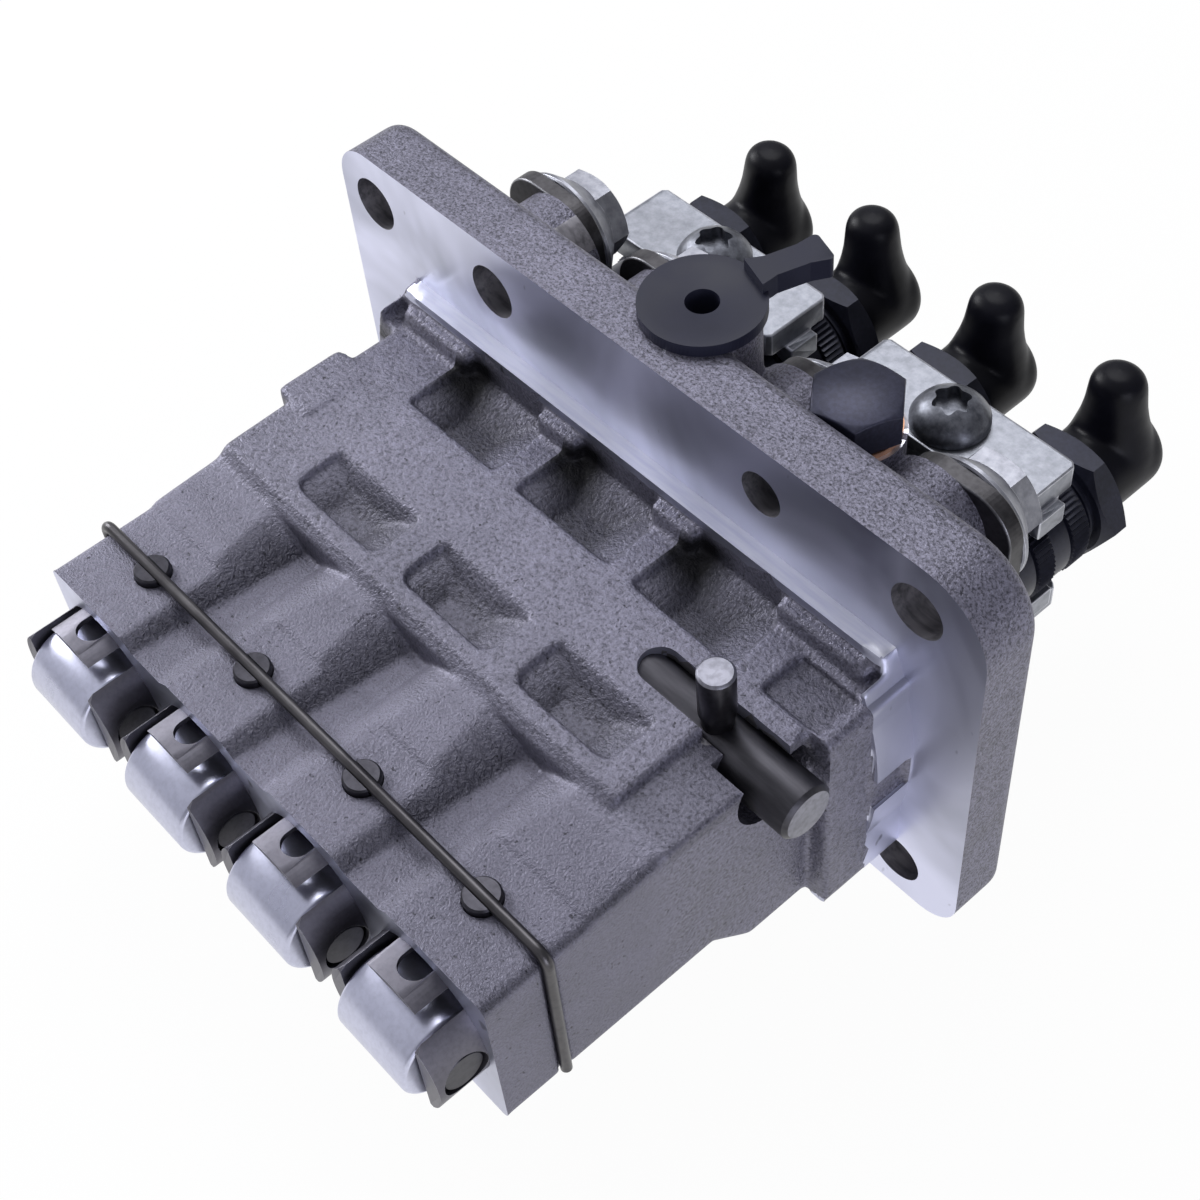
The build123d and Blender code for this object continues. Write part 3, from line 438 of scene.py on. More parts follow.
# Places on the casting, in millimetres from the middle of the plunger row. The pilot's relief is
# (middle z, half width) and its corners (x from, x to, z from, z to); the slot is (end x, y, half
# width, floor z), a bore (start x, radius), the lip two corners, a boss (x, y, top z, radius).
PILOT_RADIUS = 62.0
PILOT_DEPTH = 8.0
PILOT_BAND = 3.3
PILOT_TOP = 24.5
PILOT_TOP_STRIP = 1.7
PILOT_BOTTOM = -34.0
PILOT_BOTTOM_STRIP = 1.0
PILOT_RELIEF = (-2.4, 3.4)
PILOT_CORNERS = ((53.5, 60.0, 21.0, 26.0), (44.0, 60.0, -36.0, -27.0))
TAPPET_END_Y = -80.0
TAPPET_BORE_RADIUS = 12.8
TAPPET_BORE_TOP = 12.5
DECK_Y = 23.0
GUIDE_PIN_Y = -68.5
PIN_SEAT_RADIUS = 3.2
PIN_SEAT_LOW = 13.6
PIN_SEAT_TOP = 15.2
PIN_SEAT_RIM = 0.4
PIN_RECESS_RADIUS = 4.4
RACK_SLOT = (31.7, -24.4, 3.65, 12.9)
RACK_AXIS = (-24.4, 12.7)
RACK_BORE = ((-60.0, 5.45), (27.0, 5.9))
RACK_MOUTH = (48.5, 7.9)
RACK_LIP = ((46.0, -20.9, 17.0), (55.9, -18.4, 19.15))
INLET = (1.5, 14.3, 45.9, 9.4)
BLEED = (29.6, 19.7, 36.5, 8.0)
FLANGE_HOLES = [(x, z) for x in (-65.75, 60.25) for z in (36.0, -30.5)] + [(-34.25, 36.0), (28.75, 36.0)]
FLANGE_HOLE_RADIUS = 5.5
FLANGE_HOLE_RIM = 0.1
# How far from a cut surface a point may be and still belong to it.
FACE_SKIN = 0.25
DECK_SKIN = 0.2
PILOT_SKIN = 0.2
PILOT_RIM = 0.9
EDGE_ROOM = 0.3
CORNER_SMOOTHING = 14


def from_flange_hole(x, z):
    """How far a place on the flange is from the middle of the nearest hole."""
    return min(math.hypot(x - hole_x, z - hole_z) for hole_x, hole_z in FLANGE_HOLES)


def at_pin_seat(x, y):
    """Whether a place is at the seat of a guide pin."""
    reach = PIN_SEAT_RADIUS + PIN_SEAT_RIM
    return any(math.hypot(x - centre, y - GUIDE_PIN_Y) < reach for centre in ROW)


def in_rack_slot(x, y, z):
    """Whether a place is in the slot that the rack's drive pin travels in."""
    slot_x, slot_y, slot_half, floor = RACK_SLOT
    return z > floor and math.hypot(min(x - slot_x, 0.0), y - slot_y) < slot_half


def in_rack_bore(x, y, z, *bores):
    """Whether a place is in one of the round bores on the rack's axis; bores are (start, radius)."""
    from_rack = math.hypot(y - RACK_AXIS[0], z - RACK_AXIS[1])
    return any(x > start and from_rack < radius for start, radius in bores)


def on_boss(x, y, z):
    """Whether a place is on the faced top of the inlet boss or the bleed boss."""
    return any(
        abs(z - top) < FACE_SKIN and math.hypot(x - boss_x, y - boss_y) < radius
        for boss_x, boss_y, top, radius in (INLET, BLEED)
    )


def is_machined(point):
    """Whether a tool has cut the housing at this point."""
    x, y, z = row_place(point)
    if abs(y) < FACE_SKIN:
        return True
    if -PILOT_DEPTH - PILOT_SKIN < y < 0 and math.hypot(x, z) > PILOT_RADIUS - PILOT_RIM:
        return x > 0 and abs(z - PILOT_RELIEF[0]) > PILOT_RELIEF[1]
    on_strip = z > PILOT_TOP - PILOT_TOP_STRIP or z < PILOT_BOTTOM + PILOT_BOTTOM_STRIP
    if -PILOT_BAND - EDGE_ROOM < y < 0 and on_strip:
        return True
    if y < TAPPET_END_Y + EDGE_ROOM or abs(y - DECK_Y) < DECK_SKIN:
        return True
    if z < TAPPET_BORE_TOP and any(math.hypot(x - centre, z) < TAPPET_BORE_RADIUS for centre in ROW):
        return True
    if at_pin_seat(x, y) and z > 0 or in_rack_slot(x, y, z) or on_boss(x, y, z):
        return True
    return from_flange_hole(x, z) < FLANGE_HOLE_RADIUS


AS_CAST, MACHINED, MILLED, DRILLED = range(4)
# Parts of a face's normal along an axis: under the first it is a wall, over the others it lies flat.
WALL_LEAN = 0.6
SQUARE_LEAN = 0.7
LEVEL_LEAN = 0.5


def cut_of(face):
    """What a face of the housing was left by; the number is its place in the finishes."""
    point = face.calc_center_median()
    x, y, z = row_place(point)
    along, up = face.normal.y, face.normal.z
    if from_flange_hole(x, z) < FLANGE_HOLE_RADIUS + FLANGE_HOLE_RIM:
        if abs(along) < WALL_LEAN:
            return DRILLED
        return MACHINED if y < FACE_SKIN else AS_CAST
    if in_rack_bore(x, y, z, *RACK_BORE) and abs(face.normal.x) < WALL_LEAN:
        return DRILLED
    if in_rack_slot(x, y, z):
        return MACHINED if up < LEVEL_LEAN else AS_CAST
    if in_rack_bore(x, y, z, RACK_MOUTH) or not is_machined(point):
        return AS_CAST
    if abs(y) < FACE_SKIN and (along < -SQUARE_LEAN or y > 0.0):
        return MACHINED if along < -SQUARE_LEAN else AS_CAST
    if abs(y - DECK_Y) < DECK_SKIN:
        return MACHINED if along > SQUARE_LEAN else AS_CAST
    if at_pin_seat(x, y):
        return MACHINED if up < LEVEL_LEAN else AS_CAST
    if y > -PILOT_BAND - 0.4 and z > PILOT_TOP - 0.5 and up > WALL_LEAN:
        return MILLED
    if on_boss(x, y, z):
        return MACHINED if up > SQUARE_LEAN else AS_CAST
    return MACHINED


def at_pilot_corner(point):
    """Whether a point is near the blended ends of the pilot, above or below."""
    x, y, z = row_place(point)
    if not -PILOT_DEPTH - 1.0 < y < -0.1:
        return False
    return any(
        left < abs(x) < right and low < z < high for left, right, low, high in PILOT_CORNERS
    )


def keeps_its_edge(point):
    """Whether the sand mould's soft edges stay away from this point of the housing."""
    if in_rack_bore(*row_place(point), *RACK_BORE, RACK_MOUTH):
        return True
    return is_machined(point) and not at_pilot_corner(point)


def block(low, high):
    """A plain block between two corners."""
    bm = bmesh.new()
    bmesh.ops.create_cube(bm, size=1.0)
    bmesh.ops.scale(bm, vec=[b - a for a, b in zip(low, high)], verts=bm.verts)
    bmesh.ops.translate(bm, vec=[(a + b) / 2 for a, b in zip(low, high)], verts=bm.verts)
    return bm


seat_ring = turned([
    (PIN_SEAT_RADIUS, PIN_SEAT_LOW), (PIN_RECESS_RADIUS, PIN_SEAT_LOW),
    (PIN_RECESS_RADIUS, PIN_SEAT_TOP), (PIN_SEAT_RADIUS, PIN_SEAT_TOP),
], SMALL_ROUND)
added = gathered(
    [set_down(seat_ring.copy(), x, GUIDE_PIN_Y, 0.0) for x in ROW]
    + [set_down(block(*RACK_LIP), 0.0, 0.0, 0.0)]
)
casting = reshaped(
    combined(joined_copy("housing"), added, "UNION"), "REMESH", mode="SHARP",
    octree_depth=CASTING_DETAIL, scale=CASTING_CELL_SHARE, sharpness=1.0, use_remove_disconnected=False,
)
softened(casting, [vert for vert in casting.verts if not keeps_its_edge(vert.co)], CASTING_SMOOTHING)
softened(casting, [vert for vert in casting.verts if at_pilot_corner(vert.co)], CORNER_SMOOTHING)
casting.normal_update()
for face in casting.faces:
    face.material_index = cut_of(face)
casting = reshaped(casting, "DECIMATE", ratio=CASTING_KEPT_SHARE)
milled_aluminium = cut_aluminium("milled_aluminium", (0.80, 0.81, 0.92), (0.93, 0.94, 1.0), 0.34)
# The drilled walls of the holes and bores are painted dark as painted shade inside them.
drilled_and_shaded_aluminium = cut_aluminium("drilled_and_shaded_aluminium", (0.17, 0.165, 0.18), (0.32, 0.31, 0.335), 0.42)
shown(
    "cast_housing", casting, "pump_body",
    [cast_aluminium(), machined_aluminium(), milled_aluminium, drilled_and_shaded_aluminium], ["housing"],
    CASTING_CREASE,
)


# Plunger barrels with their clamping flanges.
# Each is one steel piece, ground inside, and stands out of the deck with two ears.
# They are machined all over and left lightly oiled.
def metal_finish(
    name, dark, light, roughness, mark_scale, mark_depth, stretch=(1.0, 1.0, 1.0), darkest=0.75,
):
    """Bare or coated steel: clouds of oil film and the marks of the tool, as dark as darkest."""
    material, tree, shader = finish_of(name, 0.95, roughness)
    cloud = noise(tree, 70.0, 3.0, roughness=0.6, distortion=0.4)
    marks = noise(tree, mark_scale, 2.0, roughness=0.6, stretch=stretch)
    grain = greys(tree, marks, darkest, 1.06, 0.3, 0.6)
    colour = layered(tree, between(tree, cloud, dark, light), grain)
    tree.links.new(colour, shader.inputs["Base Color"])
    dulled = greys(tree, cloud, roughness - 0.03, roughness + 0.06)
    tree.links.new(dulled, shader.inputs["Roughness"])
    relief(tree, shader, [(marks, 0.2, mark_depth)])
    return material


SECOND_FINISH = 1


def edges_broken(piece, width, steps=2, worn_slot=-1):
    """A small bevel on every crisp edge; its faces may take the worn finish."""
    bevel = piece.modifiers.new("broken_edges", "BEVEL")
    bevel.width = width * MILLIMETRE
    bevel.segments = steps
    bevel.limit_method = "ANGLE"
    bevel.angle_limit = math.radians(CRISP_EDGE)
    bevel.material = worn_slot
    return piece


oiled_steel = metal_finish("oiled_steel", (0.055, 0.053, 0.056), (0.10, 0.097, 0.102), 0.46, 900.0, 0.04)
steel_edge = metal_finish("steel_edge", (0.14, 0.14, 0.15), (0.22, 0.22, 0.235), 0.4, 900.0, 0.03)
for number in NUMBERS:
    piece = shown(
        f"barrel_and_flange_{number}", joined_copy(f"barrel_{number}"), "pump_body",
        [oiled_steel, steel_edge], [f"barrel_{number}"],
    )
    edges_broken(piece, 0.3, worn_slot=SECOND_FINISH)


# Delivery valve holders.
# Each is a turned steel screw, blackened, with a hexagon chamfered at both ends.
# Two rings of fine teeth round its neck let the lock plates hold it.
HOLDER_STEPS = 128
HOLDER_START = 19.0
HOLDER_THREAD = 8.0
HOLDER_SHOULDER = 33.05
HOLDER_NECK = 10.2
HOLDER_GROOVE = 9.0
HOLDER_LIP = 9.4
HOLDER_RING = 10.6
HOLDER_ROOT = 10.1
HOLDER_RINGS = ((40.6, 44.8), (49.2, 53.4))
HOLDER_HEX_START = 56.0
HOLDER_HEX_END = 61.3
HOLDER_FLATS = 22.0
UNION_RADIUS = 6.0
UNION_END = 74.5
VALVE_CHAMBER = 4.4
VALVE_CHAMBER_END = 36.0
FUEL_BORE = 1.4
FUEL_CONE = (3.0, 2.8)
HEX_BORE = 5.0
HEX_TURN = 30.0
HEX_CHAMFER = 30.0
HEX_FACE_SHARE = 0.96
HOLDER_CREASE = 28.0


def hexagon(flats, low, high, turn, chamfer_low, chamfer_high):
    """A hexagon along Z whose corners are turned off at one end or at both."""
    bm = bmesh.new()
    corner = flats / 2 / math.cos(math.pi / 6)
    middle = Matrix.Translation((0.0, 0.0, (low + high) / 2))
    bmesh.ops.create_cone(
        bm, cap_ends=True, segments=6, radius1=corner, radius2=corner, depth=high - low,
        matrix=middle @ Matrix.Rotation(math.radians(turn), 4, "Z"),
    )
    face_radius = HEX_FACE_SHARE * flats / 2
    wide = corner + 0.5
    fall = (wide - face_radius) * math.tan(math.radians(HEX_CHAMFER))
    outline = [(0.0, low)]
    outline += [(face_radius, low), (wide, low + fall)] if chamfer_low else [(wide, low - 0.1)]
    outline += [(wide, high - fall), (face_radius, high)] if chamfer_high else [(wide, high + 0.1)]
    outline += [(0.0, high)]
    return combined(bm, turned(outline, LARGE_ROUND), "INTERSECT")


def rod(radius, low, high, steps=SMALL_ROUND):
    """A plain round bar along Z."""
    return turned([(0.0, low), (radius, low), (radius, high), (0.0, high)], steps)


def serrated(bm, rings, outer, root):
    """Presses every second line of points of a ring inwards."""
    for vert in bm.verts:
        radius = math.hypot(vert.co.x, vert.co.y)
        column = round(math.atan2(vert.co.y, vert.co.x) / math.tau * HOLDER_STEPS)
        in_ring = any(low < vert.co.z < high for low, high in rings)
        if in_ring and abs(radius - outer) < 0.01 and column % 2:
            vert.co.x *= root / radius
            vert.co.y *= root / radius
    return bm


def black_oxide(name, dark, light):
    """Steel blackened in a salt bath, faintly blue, with rubbed spots."""
    material, tree, shader = finish_of(name, 0.5, 0.36)
    cloud = noise(tree, 90.0, 3.0, roughness=0.6)
    rub = noise(tree, 1300.0, 2.0, roughness=0.6)
    rubbed = greys(tree, rub, 0.85, 1.25, 0.35, 0.7)
    colour = layered(tree, between(tree, cloud, dark, light), rubbed)
    tree.links.new(colour, shader.inputs["Base Color"])
    tree.links.new(greys(tree, cloud, 0.32, 0.44), shader.inputs["Roughness"])
    relief(tree, shader, [(rub, 0.15, 0.03)])
    return material


def holder_mesh():
    """The neck with its rings, the groove and the union, then the hexagon joined to it."""
    (low_1, high_1), (low_2, high_2) = HOLDER_RINGS
    undercut = HOLDER_NECK - 0.5
    cone_radius, cone_depth = FUEL_CONE
    outline = [
        (VALVE_CHAMBER, HOLDER_START), (HOLDER_THREAD, HOLDER_START), (HOLDER_THREAD, HOLDER_SHOULDER),
        (HOLDER_NECK, HOLDER_SHOULDER), (HOLDER_NECK, low_1 - 0.5), (undercut, low_1 - 0.3),
        (undercut, low_1), (HOLDER_RING, low_1 + 0.2), (HOLDER_RING, high_1 - 0.2), (HOLDER_NECK, high_1),
        (HOLDER_NECK, low_2 - 0.5), (undercut, low_2 - 0.3), (undercut, low_2), (HOLDER_RING, low_2 + 0.2),
        (HOLDER_RING, high_2 - 0.4), (HOLDER_NECK, high_2 + 0.2), (HOLDER_GROOVE, high_2 + 0.7),
        (HOLDER_GROOVE, high_2 + 1.2), (HOLDER_LIP, high_2 + 1.3), (HOLDER_LIP, high_2 + 1.7),
        (HOLDER_GROOVE, high_2 + 1.8), (HOLDER_GROOVE, HOLDER_HEX_START + 0.5),
        (UNION_RADIUS, HOLDER_HEX_START + 0.6), (UNION_RADIUS, UNION_END - 0.5),
        (UNION_RADIUS - 0.5, UNION_END), (cone_radius, UNION_END), (FUEL_BORE, UNION_END - cone_depth),
        (FUEL_BORE, VALVE_CHAMBER_END), (VALVE_CHAMBER, VALVE_CHAMBER_END),
    ]
    neck = serrated(turned(outline, HOLDER_STEPS), HOLDER_RINGS, HOLDER_RING, HOLDER_ROOT)
    hexagonal = hexagon(HOLDER_FLATS, HOLDER_HEX_START, HOLDER_HEX_END, HEX_TURN, True, True)
    bore = rod(HEX_BORE, HOLDER_HEX_START - 1, HOLDER_HEX_END + 1)
    return combined(neck, combined(hexagonal, bore, "DIFFERENCE"), "UNION")


holder_black = black_oxide("holder_black", (0.009, 0.010, 0.019), (0.020, 0.021, 0.036))
holder = holder_mesh()
for number, x in zip(NUMBERS, ROW):
    shown(
        f"valve_holder_{number}", set_down(holder.copy(), x, 0.0, 0.0, "Y"), "pump_body",
        [holder_black], [f"delivery_holder_{number}"], HOLDER_CREASE,
    )


# Clamp bolts of the barrel flanges.
# Zinc-plated hexagon bolts with a wide flange forged to the head, a front row and a rear row.
# They are screwed into the deck until the flange bears on the ears.
PLATE_TOP = 26.2
BOLT_X = ((-47.4, -18.2, 18.2, 47.4), (-40.0, -12.0, 12.0, 40.0))
BOLT_Z = (24.0, -24.0)
BOLT_FLANGE = 11.7
BOLT_CONE_TOP = 4.9
BOLT_FLATS = 14.6
BOLT_HEX_START = 3.0
BOLT_HEAD = 8.6
BOLT_DISH = (4.6, 5.4, 0.7)
BOLT_SHANK = 3.95
BOLT_REACH = 18.0


def zinc_plating(name, dark, light):
    """Bright zinc, mottled by its passivation and dulled by handling."""
    material, tree, shader = finish_of(name, 0.85, 0.38)
    bloom = noise(tree, 520.0, 4.0, roughness=0.65)
    cloud = noise(tree, 50.0, 3.0, roughness=0.6, distortion=0.5)
    metal = between(tree, bloom, dark, light, 0.35, 0.65)
    tree.links.new(layered(tree, metal, greys(tree, cloud, 0.72, 1.08)), shader.inputs["Base Color"])
    tree.links.new(greys(tree, cloud, 0.34, 0.48), shader.inputs["Roughness"])
    relief(tree, shader, [(bloom, 0.3, 0.08)])
    return material


def bolt_mesh():
    """The flange with its sloped top, the hexagon and the shank."""
    rim, top, inner = BOLT_FLANGE - 0.3, BOLT_CONE_TOP, BOLT_FLATS / 2
    skirt = turned([
        (0.0, -BOLT_REACH), (BOLT_SHANK - 0.8, -BOLT_REACH), (BOLT_SHANK, -BOLT_REACH + 0.8),
        (BOLT_SHANK, 0.0), (rim - 0.3, 0.0), (rim, 0.3), (rim, 0.9), (rim - 0.5, 1.5),
        (inner + 1.0, top - 0.6), (inner + 0.2, top), (0.0, top),
    ], ROUND)
    head = hexagon(BOLT_FLATS, BOLT_HEX_START, BOLT_HEAD, HEX_TURN, False, True)
    floor_radius, mouth_radius, depth = BOLT_DISH
    floor, mouth = BOLT_HEAD - depth, BOLT_HEAD + 0.1
    dish = turned([(0.0, floor), (floor_radius, floor), (mouth_radius, mouth), (0.0, mouth)], SMALL_ROUND)
    return combined(skirt, combined(head, dish, "DIFFERENCE"), "UNION")


bolt_zinc = zinc_plating("bolt_zinc", (0.26, 0.265, 0.30), (0.40, 0.405, 0.45))
worn_zinc = zinc_plating("worn_zinc", (0.50, 0.51, 0.56), (0.66, 0.67, 0.72))
places = [(x, z) for z, row in zip(BOLT_Z, BOLT_X) for x in row]
bolt = bolt_mesh()
bolts = gathered([set_down(bolt.copy(), x, PLATE_TOP, z, "Y") for x, z in places])
bolts = shown("flanged_bolts", bolts, "pump_body", [bolt_zinc, worn_zinc], ["clamp_bolts"])
edges_broken(bolts, 0.15, worn_slot=SECOND_FINISH)


# Lock plates.
# Four flat bars of zinc-plated steel, two over each pair of holders and two under it.
# Their saddles bite into the rings of teeth, and their sheared edges are worn bright.
plate_zinc = zinc_plating("plate_zinc", (0.25, 0.26, 0.29), (0.35, 0.36, 0.40))
plates = shown(
    "locking_bars", joined_copy("lock_plates"), "pump_body", [plate_zinc, worn_zinc],
    ["lock_plates"],
)
edges_broken(plates, 0.35, worn_slot=SECOND_FINISH)


# Lock screws.
# Two domed steel screws with a six-lobed socket draw each pair of lock plates together.
SCREW_X = (-28.0, 28.0)
SCREW_Y = 44.2
SCREW_SEAT_Z = 18.0
SCREW_RADIUS = 6.8
SCREW_HEIGHT = 5.6
SCREW_RIM = 1.3
SCREW_SHANK = 3.0
SCREW_END = -37.5
SOCKET_RADIUS = 3.0
SOCKET_LOBE = 0.42
SOCKET_DEPTH = 3.0
SCREW_CREASE = 40.0


def six_lobed(radius, lobe, low, high):
    """The blank of a socket with six round lobes."""
    bm = bmesh.new()
    bmesh.ops.create_cone(
        bm, cap_ends=True, segments=ROUND, radius1=radius, radius2=radius, depth=high - low,
        matrix=Matrix.Translation((0.0, 0.0, (low + high) / 2)),
    )
    for vert in bm.verts:
        swell = 1 + lobe / radius * math.cos(6 * math.atan2(vert.co.y, vert.co.x))
        vert.co.x *= swell
        vert.co.y *= swell
    return bm


def screw_mesh():
    """A button head on its shank, with the socket sunk into the dome."""
    rise = SCREW_HEIGHT - SCREW_RIM
    ball = (SCREW_RADIUS ** 2 + rise ** 2) / (2 * rise)
    steps = 12
    dome = []
    for step in range(steps + 1):
        radius = SCREW_RADIUS * (1 - step / steps)
        dome.append((radius, SCREW_RIM + math.sqrt(ball ** 2 - radius ** 2) - ball + rise))
    head = turned([
        (0.0, SCREW_END), (SCREW_SHANK - 0.6, SCREW_END), (SCREW_SHANK, SCREW_END + 0.6),
        (SCREW_SHANK, 0.0), (SCREW_RADIUS - 0.3, 0.0), (SCREW_RADIUS, 0.3), *dome,
    ], ROUND)
    socket = six_lobed(SOCKET_RADIUS, SOCKET_LOBE, SCREW_HEIGHT - SOCKET_DEPTH, SCREW_HEIGHT + 1)
    return combined(head, socket, "DIFFERENCE")


screw_zinc = zinc_plating("screw_zinc", (0.11, 0.115, 0.135), (0.25, 0.26, 0.295))
screws = gathered([set_down(screw_mesh(), x, SCREW_Y, SCREW_SEAT_Z) for x in SCREW_X])
shown("domed_screws", screws, "pump_body", [screw_zinc], ["lock_screws"], SCREW_CREASE)


# Rubber transit caps on the outlets.
# Each is moulded in one piece: a cup over the outlet and a thumb-thick finger to pull it off by.
# They sit a little turned, as they were pushed on by hand.
CAP_START = 62.4
CAP_END = 77.6
CAP_RADIUS = 8.1
CAP_ROUND = 3.4
CAP_BORE = 6.05
CAP_BORE_END = 74.55
FINGER_Y = 71.0
FINGER_HEIGHTS = (0.0, 3.0, 6.0, 9.0, 12.0, 15.0, 17.0, 18.6, 19.6, 20.0)
FINGER_RADII = (8.1, 7.9, 7.0, 6.1, 5.5, 5.2, 5.0, 4.3, 2.7, 0.0)
FINGER_FLATTENING = 0.92
CAP_STEPS = 64
CAP_CELL = 0.5
CAP_SMOOTHING = 9
CAP_TURNS = (4.0, -3.0, 2.0, -2.0)
CAP_CREASE = 60.0


def moulded_rubber():
    """Black rubber with a faint bloom and a soft, uneven skin."""
    material, tree, shader = finish_of("moulded_rubber", 0.0, 0.4)
    shader.inputs["Specular IOR Level"].default_value = 0.12
    bloom = noise(tree, 130.0, 3.0, roughness=0.6)
    skin = noise(tree, 1500.0, 2.0)
    soft = noise(tree, 160.0, 1.0)
    colour = between(tree, bloom, (0.003, 0.003, 0.005), (0.006, 0.006, 0.010))
    tree.links.new(colour, shader.inputs["Base Color"])
    tree.links.new(greys(tree, bloom, 0.34, 0.44), shader.inputs["Roughness"])
    relief(tree, shader, [(soft, 0.2, 0.3), (skin, 0.06, 0.03)])
    return material


def cap_mesh():
    """The cup and the finger grown together, then hollowed to fit over the outlet."""
    corner = [
        (CAP_RADIUS - CAP_ROUND * (1 - math.cos(turn)), CAP_END - CAP_ROUND * (1 - math.sin(turn)))
        for turn in (math.pi / 2 * step / 6 for step in range(7))
    ]
    cup = turned([(0.0, CAP_START), (CAP_RADIUS, CAP_START), *corner, (0.0, CAP_END)], CAP_STEPS)
    lay_down = Matrix.Rotation(math.radians(-90.0), 4, "X")
    bmesh.ops.transform(cup, matrix=lay_down, verts=cup.verts)
    finger = turned([(0.0, 0.0), *zip(FINGER_RADII, FINGER_HEIGHTS)], CAP_STEPS)
    bmesh.ops.scale(finger, vec=(1.0, FINGER_FLATTENING, 1.0), verts=finger.verts)
    bmesh.ops.translate(finger, vec=(0.0, FINGER_Y, 0.0), verts=finger.verts)
    cap = reshaped(gathered([cup, finger]), "REMESH", mode="VOXEL", voxel_size=CAP_CELL)
    softened(cap, cap.verts, CAP_SMOOTHING)
    bore = rod(CAP_BORE, CAP_START - 1, CAP_BORE_END, CAP_STEPS)
    bmesh.ops.transform(bore, matrix=lay_down, verts=bore.verts)
    return combined(cap, bore, "DIFFERENCE")


rubber = moulded_rubber()
cap = cap_mesh()
for number, x, angle in zip(NUMBERS, ROW, CAP_TURNS):
    copy = cap.copy()
    pushed_on = Matrix.Rotation(math.radians(angle), 3, "Y")
    bmesh.ops.rotate(copy, verts=copy.verts, cent=(0.0, 0.0, 0.0), matrix=pushed_on)
    shown(
        f"rubber_cap_{number}", set_down(copy, x, 0.0, 0.0), "pump_body", [rubber],
        [f"outlet_cap_{number}"], CAP_CREASE,
    )


# Roller tappets.
# Hardened steel cups with a fork; a ground roller turns on its pin in each.
# The cups have a dark ground skin, the rollers are bright.
tappet_steel = metal_finish(
    "tappet_steel", (0.11, 0.106, 0.125), (0.155, 0.15, 0.175), 0.45, 1400.0, 0.006, darkest=0.9,
)
tappet_edge = metal_finish(
    "tappet_edge", (0.28, 0.28, 0.31), (0.38, 0.38, 0.42), 0.36, 1400.0, 0.006, darkest=0.9,
)
roller_steel = metal_finish(
    "roller_steel", (0.52, 0.53, 0.65), (0.58, 0.59, 0.72), 0.29, 1100.0, 0.004, darkest=0.95,
)
pin_steel = metal_finish("pin_steel", (0.035, 0.034, 0.041), (0.07, 0.068, 0.079), 0.34, 1000.0, 0.02)
for number in NUMBERS:
    piece = shown(
        f"roller_tappet_{number}", joined_copy(f"tappet_{number}"), f"tappet_body_{number}",
        [tappet_steel, tappet_edge], [f"tappet_{number}"],
    )
    edges_broken(piece, 0.25, worn_slot=SECOND_FINISH)
    piece = shown(
        f"tappet_roller_{number}", joined_copy(f"roller_{number}"), f"roller_body_{number}",
        [roller_steel], [f"roller_{number}"],
    )
    edges_broken(piece, 0.2)


# Inlet cap.
# A disc of black plastic with a shallow dish, pressed into the fuel inlet by its stem.
# A flat tab at its edge is for pulling it out.
INLET_CAP_TOP = 48.1
DISH_DEPTH = 0.45
DISH_RADIUS = 9.2
DISH_FLOOR_RADIUS = 6.2


def slate_plastic():
    """Dull plastic, nearly black and a little blue."""
    material, tree, shader = finish_of("slate_plastic", 0.0, 0.5)
    shader.inputs["Specular IOR Level"].default_value = 0.22
    bloom = noise(tree, 110.0, 3.0, roughness=0.6)
    skin = noise(tree, 1500.0, 2.0)
    colour = between(tree, bloom, (0.014, 0.015, 0.029), (0.022, 0.023, 0.042))
    tree.links.new(colour, shader.inputs["Base Color"])
    tree.links.new(greys(tree, bloom, 0.38, 0.5), shader.inputs["Roughness"])
    relief(tree, shader, [(skin, 0.12, 0.04)])
    return material


dish = turned([
    (0.0, -DISH_DEPTH), (DISH_FLOOR_RADIUS, -0.8 * DISH_DEPTH), (DISH_RADIUS, 0.2), (0.0, 0.2),
], ROUND)
inlet_cap = combined(joined_copy("inlet_cap"), set_down(dish, *INLET[:2], INLET_CAP_TOP), "DIFFERENCE")
inlet_cap = shown("inlet_plug", inlet_cap, "pump_body", [slate_plastic()], ["inlet_cap"])
edges_broken(inlet_cap, 0.3, steps=3)


# Bleed plug.
# A blackened hexagon plug, chamfered at its top, tightened on a copper washer.
BLEED_SEAT = 37.5
BLEED_FLATS = 14.0
BLEED_HEX = 6.5
BLEED_TURN = -20.0
BLEED_SHANK = 3.15
BLEED_REACH = 10.0


def plug_mesh():
    """The hexagon on its shank."""
    head = hexagon(BLEED_FLATS, 0.0, BLEED_HEX, BLEED_TURN, False, True)
    return combined(head, rod(BLEED_SHANK, -BLEED_REACH, 0.5), "UNION")


plug_black = black_oxide("plug_black", (0.016, 0.017, 0.034), (0.032, 0.033, 0.058))
plug = set_down(plug_mesh(), *BLEED[:2], BLEED_SEAT)
edges_broken(shown("gallery_plug", plug, "pump_body", [plug_black], ["bleed_plug"]), 0.15)


